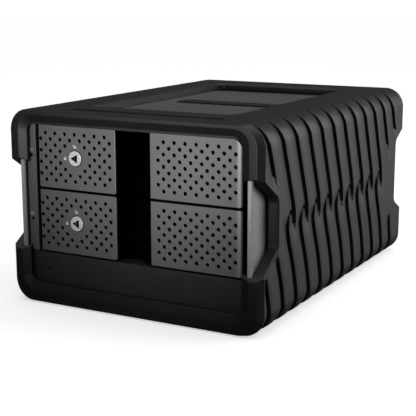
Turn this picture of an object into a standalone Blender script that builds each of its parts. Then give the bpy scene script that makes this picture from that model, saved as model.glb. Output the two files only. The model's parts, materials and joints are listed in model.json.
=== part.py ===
"""Rugged two-bay drive enclosure: a rubber sleeve over an aluminium tube that holds two drive trays.

Metres, +Z up, front at -Y, origin at the bottom centre of the sleeve. Each tray slides out along -Y. Its latch
lever swings out about a vertical pin at its left end, and the key lock in the lever turns about Y. The rear
panel carries the fan, the sockets, the power rocker, the mode dial and the confirm button.
"""

import math

import bmesh
import bpy

# ---- driving sizes ---------------------------------------------------------------------------------
DRIVE_WIDTH = 0.1016  # 3.5-inch hard drive
DRIVE_HEIGHT = 0.0261
DRIVE_LENGTH = 0.147

FIT_GAP = 0.0003  # between pieces that seat on or in each other
SKIN = 0.0002  # step between the faces of joined shapes, so that none lie in one plane
TRAY_EXTRA_WIDTH = 0.0238  # tray face beyond the drive, both sides together
TRAY_EXTRA_HEIGHT = 0.0087  # tray face beyond the drive, top and bottom together
TRAY_SEAM = 0.0013  # between the two tray faces
TRAY_TOP_GAP = 0.0005  # upper tray face to the tube's roof
TRAY_RIGHT_GAP = 0.00395  # tray face to the tube's right wall
HINGE_SWING_GAP = 0.0022  # tray face to the indicator strip, for the lever's corner to swing in
STRIP_WIDTH = 0.0059  # indicator strip left of the trays
STRIP_SIDE_GAP = 0.00045
FASCIA_HEIGHT = 0.0208  # strip below the trays
FASCIA_SEAM = 0.001
TUBE_WALL = 0.003
TUBE_OUTER_RADIUS = 0.008
SLEEVE_SIDE_WALL = 0.00625
SLEEVE_TOP_WALL = 0.0043
SLEEVE_OUTER_RADIUS = 0.012
LIP_THICKNESS = 0.002  # rubber in front of the tube's edge
PANEL_RECESS = 0.00232  # tube's front edge to the tray faces
TRAY_NOSE = 0.0153  # tray face to the front of the drive
REAR_BAY = 0.0481  # drive's rear end to the sleeve's rear face
REAR_PANEL_RECESS = 0.0023
REAR_PANEL_THICKNESS = 0.002

# front lip of the sleeve, measured inwards from the outside
LIP_EDGE_SIDE = 0.003  # outer chamfer, across
LIP_EDGE_TOP = 0.0007  # outer chamfer, up
LIP_EDGE_DEPTH = 0.0033
LIP_FLAT_RADIUS = 0.0085
LIP_INNER_RADIUS = 0.0055
LIP_SIDE_OVERLAP = 0.00275  # lip past the tube's inner side wall
LIP_TOP_SHORTFALL = 0.0009  # lip short of the tube's inner roof
LIP_BOTTOM_OVERLAP = 0.0036
LIP_CHAMFER_SIDE = 0.0047
LIP_CHAMFER_TOP = 0.0041
LIP_HOOK = 0.0012  # how far the lip reaches into the tube's mouth

# openings in the sleeve
WINDOW_HALF_WIDTH = 0.0459
WINDOW_FRONT_INSET = 0.0318
WINDOW_REAR_INSET = 0.0279
WINDOW_RADIUS = 0.006
GROOVE_HALF_LENGTH = 0.0514
GROOVE_WIDTH = 0.0062
GROOVE_DEPTH = 0.0025
FRONT_GROOVE_INSET = 0.0124
REAR_GROOVE_INSET = 0.0045
FRONT_NOTCH_DEPTH = 0.019
FRONT_NOTCH_TOP_DROP = 0.0267  # notch's mouth below the sleeve's top
FRONT_NOTCH_MOUTH = 0.052
FRONT_NOTCH_SLOPE = 0.0124
REAR_NOTCH_DEPTH = 0.0147
REAR_NOTCH_TOP_DROP = 0.0252
REAR_NOTCH_MOUTH = 0.055
REAR_NOTCH_SLOPE = 0.0081

# slanted side grooves
RIB_PITCH = 0.0168
RIB_DEPTH = 0.0015
RIB_SLANT = 0.37  # towards the rear for each unit down
RIB_UPPER_TOP_DROP = 0.0085
RIB_UPPER_TOP_WIDTH = 0.0024
RIB_UPPER_END_WIDTH = 0.0062
RIB_UPPER_LENGTH = 0.0465
RIB_LOWER_START_DROP = 0.0525
RIB_LOWER_WIDTH = 0.0052
RIB_LOWER_BOTTOM = 0.012
RIB_FRONT_INSET = 0.029  # first full groove behind the front face, at the top
RIB_REAR_INSET = 0.034

# lights and fascia
LED_DROP = 0.0174  # tray's light below the top of its face
LED_INSET = 0.0024  # tray's light from the strip's left edge
LED_RADIUS = 0.0008
LED_SETBACK = 0.0004
LED_LENGTH = 0.009
POWER_LED_INSET = 0.0045  # right of the tray faces' left edge
POWER_LED_RISE = 0.0114
STRIP_CORNER = 0.0048
FASCIA_THICKNESS = 0.0022
FASCIA_LEDGE = 0.0105
FASCIA_LEDGE_HEIGHT = 0.0014

# label plaque in the window
LABEL_SHARE = 0.7  # of the window's width
LABEL_FRONT = -0.0006
LABEL_DEPTH = 0.0134
LABEL_THICKNESS = 0.0004

# tray face
LATCH_SHARE_WIDTH = 0.0503  # latch panel
FIXED_PANEL_WIDTH = 0.0536
PLATE_THICKNESS = 0.0012
PLATE_CORNER = 0.0012
OPENING_CORNER = 0.0055  # upper tray's outer corner, inside the lip's corner
HOLE_PITCH = 0.00645
HOLE_RADIUS = 0.00107
HOLE_RIM = 0.0002  # least material between a hole and the plate's edge
FIXED_FIRST_HOLE = 0.00484
LATCH_FIRST_HOLE = 0.00136
LOCK_FROM_LEFT = 0.0243
LOCK_KEEP_OUT = 0.0075
LOCK_RADIUS = 0.0042
LOCK_PROUD = 0.0006
LOCK_CLEARANCE = 0.0004
CAM_LENGTH = 0.011
CAM_WIDTH = 0.0045
CAM_THICKNESS = 0.0015

HINGE_INSET = 0.0036  # pin behind and right of the lever's front left corner
HINGE_BARREL = 0.0024
PIN_RADIUS = 0.001
PIN_CLEARANCE = 0.0003
EAR_HEIGHT = 0.002
LATCH_FRAME_BACK = 0.0079  # behind the tray face
LATCH_FRAME_RIM = 0.0033
BEZEL_BACK = 0.0117  # front of the bezel's rear wall, behind the tray face
BEZEL_WALL = 0.0016
BEZEL_INSET = 0.0004  # bezel inside the plates' outline
SCOOP_REACH = 0.0185  # curved scoop wall, left of the fixed panel
SCOOP_SEGMENTS = 8

# tray, cage and boards
SHEET = 0.0015
DRIVE_SIDE_GAP = 0.0004
CHASSIS_FLOOR_RISE = 0.0026
CHASSIS_WALL_DROP = 0.0048
CHASSIS_TAIL = 0.0012
FLOOR_SLOTS = 3
FLOOR_SLOT = 0.018
WING_REACH = 0.0022
WING_RISE = 0.0085
CAGE_GAP = 0.0006
RAIL_HEIGHT = 0.0032
RAIL_WIDTH = 0.0019
CAGE_PANEL = 0.0012
BOARD_THICKNESS = 0.0016
BOARD_RISE = 0.0044
BACKPLANE_GAP = 0.0036
SATA_WIDTH = 0.043
SATA_HEIGHT = 0.0062
SATA_INSET = 0.006  # from the drive's left side
SATA_RISE = 0.002  # above the drive's underside
SINK_SIZE = 0.024
SINK_FRONT = 0.01
SINK_BASE = 0.002
SINK_HEIGHT = 0.007
SINK_FIN = 0.0012
SINK_FINS = 7

# rear
FAN_SIZE = 0.060
FAN_DEPTH = 0.015
FAN_RIM = 0.0025  # least wall around the fan's bore
FAN_SCREW_INSET = 0.005
FAN_CORNER = 0.004
FAN_SIDE_GAP = 0.01395  # from the tube's left wall, clear of the panel's screws
FAN_MOUNT = 0.0022  # motor plate and its struts
FAN_STRUT = 0.003
ROTOR_REAR_GAP = 0.0026
ROTOR_HUB = 0.0135
ROTOR_BLADES = 7
ROTOR_TIP_GAP = 0.0015
BLADE_THICKNESS = 0.0012
BLADE_DEPTH_SHARE = 0.88  # of the hub's
BLADE_PITCH = math.radians(42)
BLADE_ROOT = 0.002  # inside the hub
GUARD_THICKNESS = 0.0008
GUARD_RINGS = 3
GUARD_FIRST_SLOT = 0.0095  # inner radius
GUARD_SLOT = 0.0052
GUARD_WEB = 0.0016
VENT_GAP = 0.008  # from the fan
VENT_MARGIN = 0.012  # least distance to the tube's wall
VENT_PITCH = 0.007
VENT_WIDTH = 0.003
VENT_HEIGHT = 0.044
VENT_CORNER = 0.0014
SCREW_HEAD_RADIUS = 0.0027
SCREW_HEAD_HEIGHT = 0.0013
SCREW_SHANK_RADIUS = 0.0013
SCREW_SHANK = 0.004
PORT_RISE = 0.0135  # centre of the rear sockets above the tube's inner floor
JACK_SIZE = 0.012
JACK_BORE = 0.0042
JACK_DEPTH = 0.012
JACK_BORE_DEPTH = 0.010
SOCKET_PROUD = 0.0006
USB_WIDTH = 0.0094
USB_HEIGHT = 0.0036
USB_CORNER = 0.0012
USB_WALL = 0.0004
USB_DEPTH = 0.008
USB_MOUTH_DEPTH = 0.006
ROCKER_WIDTH = 0.0085
ROCKER_HEIGHT = 0.0135
ROCKER_TILT = math.radians(7)
SWITCH_RIM = 0.0022
SWITCH_DEPTH = 0.008
SWITCH_PROUD = 0.0012
SWITCH_CORNER = 0.001
ROCKER_PIVOT_DEPTH = 0.003
ROCKER_PLAY = 0.0002
DIAL_RADIUS = 0.0042
DIAL_LENGTH = 0.006
DIAL_SINK = 0.0015  # dial's middle behind the panel's face
DIAL_SLOT_WIDTH = 0.001
DIAL_SLOT_LENGTH = 0.0056
DIAL_SLOT_FLOOR = 0.0005
BUTTON_RADIUS = 0.0026
BUTTON_TRAVEL = 0.0012
BUTTON_LENGTH = 0.005
JACK_X = -0.050
USB_XS = (-0.024, -0.004)
DIAL_X = 0.016
BUTTON_X = 0.032
SWITCH_X = 0.054
PANEL_SCREW_INSET = 0.0075
PANEL_SCREW_RISE = 0.0355  # lower screws above the tube's inner floor
PANEL_SCREW_DROP = 0.009  # upper screws below its roof
SEGMENTS = 20

# ---- worked out from the driving sizes --------------------------------------------------------------
TRAY_WIDTH = DRIVE_WIDTH + TRAY_EXTRA_WIDTH
TRAY_HEIGHT = DRIVE_HEIGHT + TRAY_EXTRA_HEIGHT
TUBE_INNER_WIDTH = STRIP_SIDE_GAP + STRIP_WIDTH + HINGE_SWING_GAP + TRAY_WIDTH + TRAY_RIGHT_GAP
TUBE_INNER_HEIGHT = (
    FIT_GAP + FASCIA_HEIGHT + FASCIA_SEAM + 2 * TRAY_HEIGHT + TRAY_SEAM + TRAY_TOP_GAP
)
TUBE_HALF = TUBE_INNER_WIDTH / 2 + TUBE_WALL
TUBE_INNER_HALF = TUBE_INNER_WIDTH / 2
SLEEVE_HALF = TUBE_HALF + FIT_GAP + SLEEVE_SIDE_WALL
TUBE_BOTTOM = SLEEVE_TOP_WALL + FIT_GAP
TUBE_FLOOR = TUBE_BOTTOM + TUBE_WALL
TUBE_ROOF = TUBE_FLOOR + TUBE_INNER_HEIGHT
TUBE_TOP = TUBE_ROOF + TUBE_WALL
SLEEVE_TOP = TUBE_TOP + FIT_GAP + SLEEVE_TOP_WALL
TUBE_EDGE_SETBACK = LIP_THICKNESS + FIT_GAP
SLEEVE_DEPTH = TUBE_EDGE_SETBACK + PANEL_RECESS + TRAY_NOSE + DRIVE_LENGTH + REAR_BAY
FRONT = -SLEEVE_DEPTH / 2
REAR = SLEEVE_DEPTH / 2
TUBE_FRONT = FRONT + TUBE_EDGE_SETBACK
TUBE_REAR = REAR - TUBE_EDGE_SETBACK
FACE_Y = TUBE_FRONT + PANEL_RECESS
FACE_RIGHT = TUBE_INNER_HALF - TRAY_RIGHT_GAP
FACE_LEFT = FACE_RIGHT - TRAY_WIDTH
LATCH_RIGHT = FACE_LEFT + LATCH_SHARE_WIDTH
FIXED_LEFT = FACE_RIGHT - FIXED_PANEL_WIDTH
DRIVE_X = (FACE_LEFT + FACE_RIGHT) / 2
DRIVE_FRONT = FACE_Y + TRAY_NOSE
DRIVE_REAR = DRIVE_FRONT + DRIVE_LENGTH
FASCIA_TOP = TUBE_FLOOR + FIT_GAP + FASCIA_HEIGHT
LED_X = -TUBE_INNER_HALF + STRIP_SIDE_GAP + LED_INSET
POWER_LED_X = FACE_LEFT + POWER_LED_INSET
POWER_LED_Z = TUBE_FLOOR + POWER_LED_RISE
LOWER_TRAY_Z = FASCIA_TOP + FASCIA_SEAM
UPPER_TRAY_Z = LOWER_TRAY_Z + TRAY_HEIGHT + TRAY_SEAM
TRAYS = (("lower", LOWER_TRAY_Z), ("upper", UPPER_TRAY_Z))
HINGE_X = FACE_LEFT + HINGE_INSET
HINGE_Y = FACE_Y + PLATE_THICKNESS + FIT_GAP + HINGE_BARREL
LOCK_X = FACE_LEFT + LOCK_FROM_LEFT
PLATE_BACK = FACE_Y + PLATE_THICKNESS
BEZEL_WALL_FRONT = FACE_Y + BEZEL_BACK
CHASSIS_HALF = DRIVE_WIDTH / 2 + DRIVE_SIDE_GAP + SHEET
CAGE_INNER_HALF = CHASSIS_HALF + WING_REACH + CAGE_GAP
CAGE_FRONT = BEZEL_WALL_FRONT + BEZEL_WALL + FIT_GAP + CAGE_GAP
CAGE_REAR = DRIVE_REAR + BACKPLANE_GAP - FIT_GAP
PANEL_REAR_Y = TUBE_REAR - REAR_PANEL_RECESS
PANEL_INNER_Y = PANEL_REAR_Y - REAR_PANEL_THICKNESS
BOARD_TOP = TUBE_FLOOR + BOARD_RISE + BOARD_THICKNESS
PORT_Z = TUBE_FLOOR + PORT_RISE
FAN_BORE = FAN_SIZE / 2 - FAN_RIM
FAN_X = -TUBE_INNER_HALF + FAN_SIDE_GAP + FAN_SIZE / 2
FAN_Z = (TUBE_ROOF + PORT_Z + JACK_SIZE / 2) / 2  # midway between the power inlet and the tube's roof
PANEL_SCREWS = [(sx * (TUBE_INNER_HALF - PANEL_SCREW_INSET), z) for sx in (-1, 1)
                for z in (TUBE_FLOOR + PANEL_SCREW_RISE, TUBE_ROOF - PANEL_SCREW_DROP)]

COLOURS = {
    "rubber": ((0.022, 0.022, 0.023), 0.62, 0.0),
    "housing_metal": ((0.20, 0.20, 0.205), 0.42, 0.9),
    "panel_metal": ((0.10, 0.10, 0.105), 0.45, 0.6),
    "black_plastic": ((0.012, 0.012, 0.013), 0.5, 0.0),
    "bright_steel": ((0.62, 0.62, 0.63), 0.25, 1.0),
    "sheet_steel": ((0.45, 0.46, 0.47), 0.4, 0.9),
    "circuit_board": ((0.01, 0.07, 0.035), 0.45, 0.0),
    "drive_casting": ((0.40, 0.41, 0.42), 0.4, 0.9),
    "light_pipe": ((0.75, 0.80, 0.85), 0.2, 0.0),
}


# ---- scene, collections and modelling helpers -------------------------------------------------------
def new_collection(name):
    """A collection linked to the scene."""
    collection = bpy.data.collections.new(name)
    bpy.context.scene.collection.children.link(collection)
    return collection


def material(name):
    """The Principled material of this name, made on first use."""
    found = bpy.data.materials.get(name)
    if found:
        return found
    colour, roughness, metallic = COLOURS[name]
    made = bpy.data.materials.new(name)
    made.use_nodes = True
    shader = made.node_tree.nodes["Principled BSDF"]
    shader.inputs["Base Color"].default_value = (*colour, 1)
    shader.inputs["Roughness"].default_value = roughness
    shader.inputs["Metallic"].default_value = metallic
    made.diffuse_color = (*colour, 1)
    return made


def link(name, data, finish=None):
    """A new object in the parts collection, or, with no finish, a hidden helper among the cutters."""
    obj = bpy.data.objects.new(name, data)
    if finish:
        PARTS.objects.link(obj)
        data.materials.append(material(finish))
    else:
        CUTTERS.objects.link(obj)
        obj.hide_render = True
        obj.display_type = "WIRE"
    return obj


def mesh_object(name, bm, finish=None):
    """An object that holds this bmesh, with its normals facing out."""
    bmesh.ops.recalc_face_normals(bm, faces=bm.faces)
    mesh = bpy.data.meshes.new(name)
    bm.to_mesh(mesh)
    bm.free()
    return link(name, mesh, finish)


def box(name, low, high, finish=None):
    """A box between two corners, with its origin at its centre."""
    bm = bmesh.new()
    bmesh.ops.create_cube(bm, size=1)
    bmesh.ops.scale(bm, verts=bm.verts, vec=[b - a for a, b in zip(low, high)])
    obj = mesh_object(name, bm, finish)
    obj.location = [(a + b) / 2 for a, b in zip(low, high)]
    return obj


TURNS = {"X": (math.pi / 2, 0, math.pi / 2), "Y": (math.pi / 2, 0, 0), "Z": (0, 0, 0)}
CYLINDER_TURNS = {"X": (0, math.pi / 2, 0), "Y": (math.pi / 2, 0, 0), "Z": (0, 0, 0)}


def rod(name, centre, radius, length, axis, finish=None, segments=SEGMENTS):
    """A cylinder about its centre, along X, Y or Z."""
    bm = bmesh.new()
    bmesh.ops.create_cone(bm, cap_ends=True, segments=segments, radius1=radius, radius2=radius, depth=length)
    obj = mesh_object(name, bm, finish)
    obj.location = centre
    obj.rotation_euler = CYLINDER_TURNS[axis]
    for polygon in obj.data.polygons:
        polygon.use_smooth = len(polygon.vertices) == 4
    return obj


def arc(centre, radius, start, end, steps):
    """Points on an arc, angles in degrees, both ends included."""
    angles = [math.radians(start + (end - start) * i / steps) for i in range(steps + 1)]
    return [(centre[0] + radius * math.cos(a), centre[1] + radius * math.sin(a)) for a in angles]


def circle(centre, radius, count=SEGMENTS):
    """Points of a full circle."""
    return arc(centre, radius, 0, 360 * (count - 1) / count, count - 1)


def rounded(low, high, radii, steps=4):
    """A rectangle from low to high with radii at its corners: low-low, high-low, high-high, low-high."""
    corners = ((low[0], low[1], 1, 1, 180), (high[0], low[1], -1, 1, 270),
               (high[0], high[1], -1, -1, 0), (low[0], high[1], 1, -1, 90))
    points = []
    for (u, v, du, dv, start), radius in zip(corners, radii):
        if radius:
            points += arc((u + du * radius, v + dv * radius), radius, start, start + 90, steps)
        else:
            points.append((u, v))
    return points


def plate(name, outlines, axis, low, high, finish=None):
    """A flat outline, with the outlines of its holes after it, extruded from low to high along an axis."""
    curve = bpy.data.curves.new(name, "CURVE")
    curve.dimensions = "2D"
    curve.fill_mode = "BOTH"
    curve.extrude = (high - low) / 2
    for outline in outlines:
        spline = curve.splines.new("POLY")
        spline.points.add(len(outline) - 1)
        for point, (u, v) in zip(spline.points, outline):
            point.co = (u, v, 0, 1)
        spline.use_cyclic_u = True
    guide = bpy.data.objects.new(name + "_outline", curve)
    CUTTERS.objects.link(guide)
    bpy.context.view_layer.update()
    mesh = bpy.data.meshes.new_from_object(guide.evaluated_get(bpy.context.evaluated_depsgraph_get()))
    bpy.data.objects.remove(guide)
    bpy.data.curves.remove(curve)
    bm = bmesh.new()
    bm.from_mesh(mesh)
    bpy.data.meshes.remove(mesh)
    bmesh.ops.remove_doubles(bm, verts=bm.verts, dist=1e-6)
    obj = mesh_object(name, bm, finish)
    obj.rotation_euler = TURNS[axis]
    obj.location["XYZ".index(axis)] = (low + high) / 2
    return obj


def ring(bm, y, low, high, radius, steps):
    """One rounded rectangular loop of edges at this depth."""
    points = rounded(low, high, (radius,) * 4, steps)
    verts = [bm.verts.new((u, y, v)) for u, v in points]
    return [bm.edges.new((a, b)) for a, b in zip(verts, verts[1:] + verts[:1])]


def loft(name, sections, finish=None, steps=5):
    """A closed solid through rounded rectangles (y, low corner, high corner, radius), front to back."""
    bm = bmesh.new()
    rings = [ring(bm, *section, steps) for section in sections]
    for first, second in zip(rings, rings[1:]):
        bmesh.ops.bridge_loops(bm, edges=first + second)
    bmesh.ops.holes_fill(bm, edges=rings[0] + rings[-1], sides=0)
    return mesh_object(name, bm, finish)


def boolean(target, operation, *helpers):
    """Booleans on target, one for each helper."""
    for helper in helpers:
        modifier = target.modifiers.new(operation.lower(), "BOOLEAN")
        modifier.operation = operation
        modifier.object = helper
    return target


def cut(target, *helpers):
    return boolean(target, "DIFFERENCE", *helpers)


def join(target, *helpers):
    return boolean(target, "UNION", *helpers)


def joint_empty(name, location, parent=None):
    """An empty on a joint's axis, which carries the pieces that move with it."""
    empty = bpy.data.objects.new(name, None)
    empty.location = location
    empty.empty_display_size = 0.01
    PARTS.objects.link(empty)
    bpy.context.view_layer.update()
    if parent:
        carry(parent, empty)
    return empty


def carry(empty, *pieces):
    """Parents pieces to the empty and leaves them where they are."""
    for piece in pieces:
        piece.parent = empty
        piece.matrix_parent_inverse = empty.matrix_world.inverted()
    bpy.context.view_layer.update()


# ---- sleeve, tube and front ---------------------------------------------------------------------------
def lip_opening(name, face, inward):
    """Cutter for the sleeve's mouth: a chamfer from the lip's flat band, then straight into the cavity."""
    over = 0.1 * LIP_THICKNESS
    side = TUBE_INNER_HALF - LIP_SIDE_OVERLAP
    low = TUBE_FLOOR + LIP_BOTTOM_OVERLAP
    high = TUBE_ROOF + LIP_TOP_SHORTFALL
    outer_side = side + 1.1 * LIP_CHAMFER_SIDE
    outer_low = low - 1.1 * LIP_CHAMFER_TOP
    outer_high = high + 1.1 * LIP_CHAMFER_TOP
    end = face + inward * (TUBE_EDGE_SETBACK + LIP_HOOK + 0.002)
    return loft(name, [
        (face - inward * over, (-outer_side, outer_low), (outer_side, outer_high), LIP_FLAT_RADIUS),
        (face + inward * LIP_THICKNESS, (-side, low), (side, high), LIP_INNER_RADIUS),
        (end, (-side, low), (side, high), LIP_INNER_RADIUS),
    ])


def notch(name, face, inward, depth, top_drop, mouth, slope):
    """Cutter through both side walls for a six-sided notch that is open at the face."""
    outside = face - inward * 0.001
    bottom = face + inward * depth
    top = SLEEVE_TOP - top_drop
    lead = slope * 0.001 / depth
    outline = [(outside, top + lead), (bottom, top - slope), (bottom, top - mouth + slope),
               (outside, top - mouth - lead)]
    reach = SLEEVE_HALF + 0.002
    return plate(name, [outline], "X", -reach, reach)


def groove(name, face, inward, inset):
    """Cutter for a long shallow groove across the sleeve's top, with slanted ends."""
    near = face + inward * inset
    far = near + inward * GROOVE_WIDTH
    taper = GROOVE_WIDTH * 0.8
    outline = [(-GROOVE_HALF_LENGTH, near), (GROOVE_HALF_LENGTH, near),
               (GROOVE_HALF_LENGTH - taper, far), (taper - GROOVE_HALF_LENGTH, far)]
    return plate(name, [outline], "Z", SLEEVE_TOP - GROOVE_DEPTH, SLEEVE_TOP + 0.001)


def rib_outline(y, top, bottom, top_width, bottom_width):
    """A slanted groove with a round lower end; y is its front edge at the top."""
    drop = top - bottom
    centre = y + RIB_SLANT * drop + bottom_width / 2
    return [(y + top_width, top), (y, top)] + arc((centre, bottom), bottom_width / 2, 180, 360, 4)


def rib_rows():
    """Names and outlines of the side grooves: an upper row, and a lower row half a pitch behind its ends."""
    upper_top = SLEEVE_TOP - RIB_UPPER_TOP_DROP
    upper_end = upper_top - RIB_UPPER_LENGTH
    lower_top = SLEEVE_TOP - RIB_LOWER_START_DROP
    count = int((SLEEVE_DEPTH - RIB_FRONT_INSET - RIB_REAR_INSET) / RIB_PITCH) + 1
    half_gap = (RIB_PITCH - RIB_LOWER_WIDTH) / 2
    rows = []
    for index in range(count):
        y = FRONT + RIB_FRONT_INSET + index * RIB_PITCH
        rows.append(rib_outline(y, upper_top, upper_end, RIB_UPPER_TOP_WIDTH, RIB_UPPER_END_WIDTH))
        if index < count - 1:
            start = y + RIB_SLANT * (upper_top - lower_top) + half_gap + RIB_LOWER_WIDTH / 2
            rows.append(rib_outline(start, lower_top, RIB_LOWER_BOTTOM, RIB_LOWER_WIDTH, RIB_LOWER_WIDTH))
    return rows


def rib_cutters():
    """One cutter on each side, which holds every groove of that side."""
    inner = SLEEVE_HALF - RIB_DEPTH
    outer = SLEEVE_HALF + 0.001
    return [plate(f"rib_cutter_{side}", rib_rows(), "X", min(sign * inner, sign * outer),
                  max(sign * inner, sign * outer))
            for side, sign in (("right", 1), ("left", -1))]


def rubber_sleeve():
    """Sleeve that wraps the tube, with chamfered lips, a top window, side notches and slanted grooves."""
    edge = SLEEVE_HALF - LIP_EDGE_SIDE
    full = ((-SLEEVE_HALF, 0), (SLEEVE_HALF, SLEEVE_TOP), SLEEVE_OUTER_RADIUS)
    end = ((-edge, LIP_EDGE_TOP), (edge, SLEEVE_TOP - LIP_EDGE_TOP), SLEEVE_OUTER_RADIUS - LIP_EDGE_TOP)
    sleeve = loft("rubber_sleeve", [(FRONT, *end), (FRONT + LIP_EDGE_DEPTH, *full),
                                    (REAR - LIP_EDGE_DEPTH, *full), (REAR, *end)], "rubber")
    gap_side = TUBE_HALF + FIT_GAP
    hook_side = TUBE_INNER_HALF - FIT_GAP
    inner_radius = TUBE_OUTER_RADIUS - TUBE_WALL
    tube_space = plate("tube_space", [
        rounded((-gap_side, TUBE_BOTTOM - FIT_GAP), (gap_side, TUBE_TOP + FIT_GAP),
                (TUBE_OUTER_RADIUS + FIT_GAP,) * 4),
        rounded((-hook_side, TUBE_FLOOR + FIT_GAP), (hook_side, TUBE_ROOF - FIT_GAP), (inner_radius,) * 4),
    ], "Y", TUBE_FRONT - FIT_GAP, TUBE_REAR + FIT_GAP)
    middle = TUBE_WALL / 2
    cavity = plate("sleeve_cavity", [
        rounded((-TUBE_INNER_HALF - middle, TUBE_FLOOR - middle),
                (TUBE_INNER_HALF + middle, TUBE_ROOF + middle), (inner_radius + middle,) * 4),
    ], "Y", TUBE_FRONT + LIP_HOOK, TUBE_REAR - LIP_HOOK)
    window = plate("top_window", [
        rounded((-WINDOW_HALF_WIDTH, FRONT + WINDOW_FRONT_INSET),
                (WINDOW_HALF_WIDTH, REAR - WINDOW_REAR_INSET), (WINDOW_RADIUS,) * 4, 3),
    ], "Z", TUBE_TOP - 0.001, SLEEVE_TOP + 0.001)
    return cut(
        sleeve, tube_space, cavity, window,
        lip_opening("front_mouth", FRONT, 1), lip_opening("rear_mouth", REAR, -1),
        notch("front_notch", FRONT, 1, FRONT_NOTCH_DEPTH, FRONT_NOTCH_TOP_DROP, FRONT_NOTCH_MOUTH,
              FRONT_NOTCH_SLOPE),
        notch("rear_notch", REAR, -1, REAR_NOTCH_DEPTH, REAR_NOTCH_TOP_DROP, REAR_NOTCH_MOUTH,
              REAR_NOTCH_SLOPE),
        groove("front_groove", FRONT, 1, FRONT_GROOVE_INSET),
        groove("rear_groove", REAR, -1, REAR_GROOVE_INSET),
        *rib_cutters(),
    )


def metal_housing():
    """The extruded aluminium tube under the sleeve."""
    inner_radius = TUBE_OUTER_RADIUS - TUBE_WALL
    return plate("metal_housing", [
        rounded((-TUBE_HALF, TUBE_BOTTOM), (TUBE_HALF, TUBE_TOP), (TUBE_OUTER_RADIUS,) * 4),
        rounded((-TUBE_INNER_HALF, TUBE_FLOOR), (TUBE_INNER_HALF, TUBE_ROOF), (inner_radius,) * 4),
    ], "Y", TUBE_FRONT, TUBE_REAR, "housing_metal")


def label_strip():
    """Thin dark plaque on the tube's top, inside the window."""
    half = WINDOW_HALF_WIDTH * LABEL_SHARE
    low = TUBE_TOP + FIT_GAP
    rear = LABEL_FRONT + LABEL_DEPTH
    return box("label_strip", (-half, LABEL_FRONT, low), (half, rear, low + LABEL_THICKNESS), "black_plastic")


def indicator_strip():
    """Upright strip left of the trays, with one light for each."""
    left = -TUBE_INNER_HALF + STRIP_SIDE_GAP
    lights = [circle((LED_X, z + TRAY_HEIGHT - LED_DROP), LED_RADIUS + FIT_GAP, 8) for _, z in TRAYS]
    outline = rounded((left, FASCIA_TOP + FIT_GAP), (left + STRIP_WIDTH, TUBE_ROOF - FIT_GAP),
                      (0, 0, 0, STRIP_CORNER))
    return plate("indicator_strip", [outline, *lights], "Y", FACE_Y, FACE_Y + FASCIA_THICKNESS, "panel_metal")


def front_fascia():
    """Strip below the trays, with a ledge that goes back under them and a hole for the power light."""
    half = TUBE_INNER_HALF - STRIP_SIDE_GAP
    low = TUBE_FLOOR + FIT_GAP
    corner = TUBE_OUTER_RADIUS - TUBE_WALL
    fascia = plate("front_fascia", [
        rounded((-half, low), (half, FASCIA_TOP), (corner, corner, 0, 0)),
        circle((POWER_LED_X, POWER_LED_Z), LED_RADIUS + FIT_GAP, 8),
    ], "Y", FACE_Y, FACE_Y + FASCIA_THICKNESS, "black_plastic")
    ledge = box("fascia_ledge", (-half, FACE_Y + FASCIA_THICKNESS / 2, FASCIA_TOP - FASCIA_LEDGE_HEIGHT),
                (half, FACE_Y + FASCIA_LEDGE, FASCIA_TOP))
    return join(fascia, ledge)


def light_pipes():
    """Clear rods behind the three lights."""
    spots = [("light_pipe_power", POWER_LED_X, POWER_LED_Z)]
    spots += [(f"light_pipe_{tray}", LED_X, z + TRAY_HEIGHT - LED_DROP) for tray, z in TRAYS]
    for name, x, z in spots:
        rod(name, (x, FACE_Y + LED_SETBACK + LED_LENGTH / 2, z), LED_RADIUS, LED_LENGTH, "Y", "light_pipe", 8)


# ---- trays --------------------------------------------------------------------------------------------
def hole_grid(left, right, low, high, first_hole, skip=None):
    """Six-sided holes on a square grid turned 45 degrees; skip is a point that they stay clear of."""
    step = HOLE_PITCH / 2
    margin = HOLE_RADIUS + HOLE_RIM
    rows = int((high - low - 2 * (margin + 0.002)) / step)
    rows -= rows % 2
    top = (low + high) / 2 + rows / 2 * step
    holes = []
    for row in range(rows + 1):
        z = top - row * step
        x = left + first_hole + (0 if row % 2 else step)
        while x < right - margin - 0.0015:
            clear = not skip or math.dist((x, z), skip) > LOCK_KEEP_OUT
            if clear and x > left + margin:
                holes.append(circle((x, z), HOLE_RADIUS, 6))
            x += HOLE_PITCH
    return holes


def fixed_grille(tray, z):
    """Perforated plate at the right of the tray's face."""
    corner = OPENING_CORNER if tray == "upper" else PLATE_CORNER
    outline = rounded((FIXED_LEFT, z), (FACE_RIGHT, z + TRAY_HEIGHT), (0, PLATE_CORNER, corner, 0))
    holes = hole_grid(FIXED_LEFT, FACE_RIGHT, z, z + TRAY_HEIGHT, FIXED_FIRST_HOLE)
    holes = [hole for hole in holes if corner == PLATE_CORNER or clear_of_corner(hole, z)]
    return plate(f"{tray}_fixed_grille", [outline, *holes], "Y", FACE_Y, PLATE_BACK, "panel_metal")


def clear_of_corner(hole, z):
    """Whether a hole stays inside the upper plate's rounded corner."""
    centre = (FACE_RIGHT - OPENING_CORNER, z + TRAY_HEIGHT - OPENING_CORNER)
    inside = [x < centre[0] or v < centre[1] or math.dist((x, v), centre) < OPENING_CORNER - HOLE_RIM
              for x, v in hole]
    return all(inside)


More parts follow.
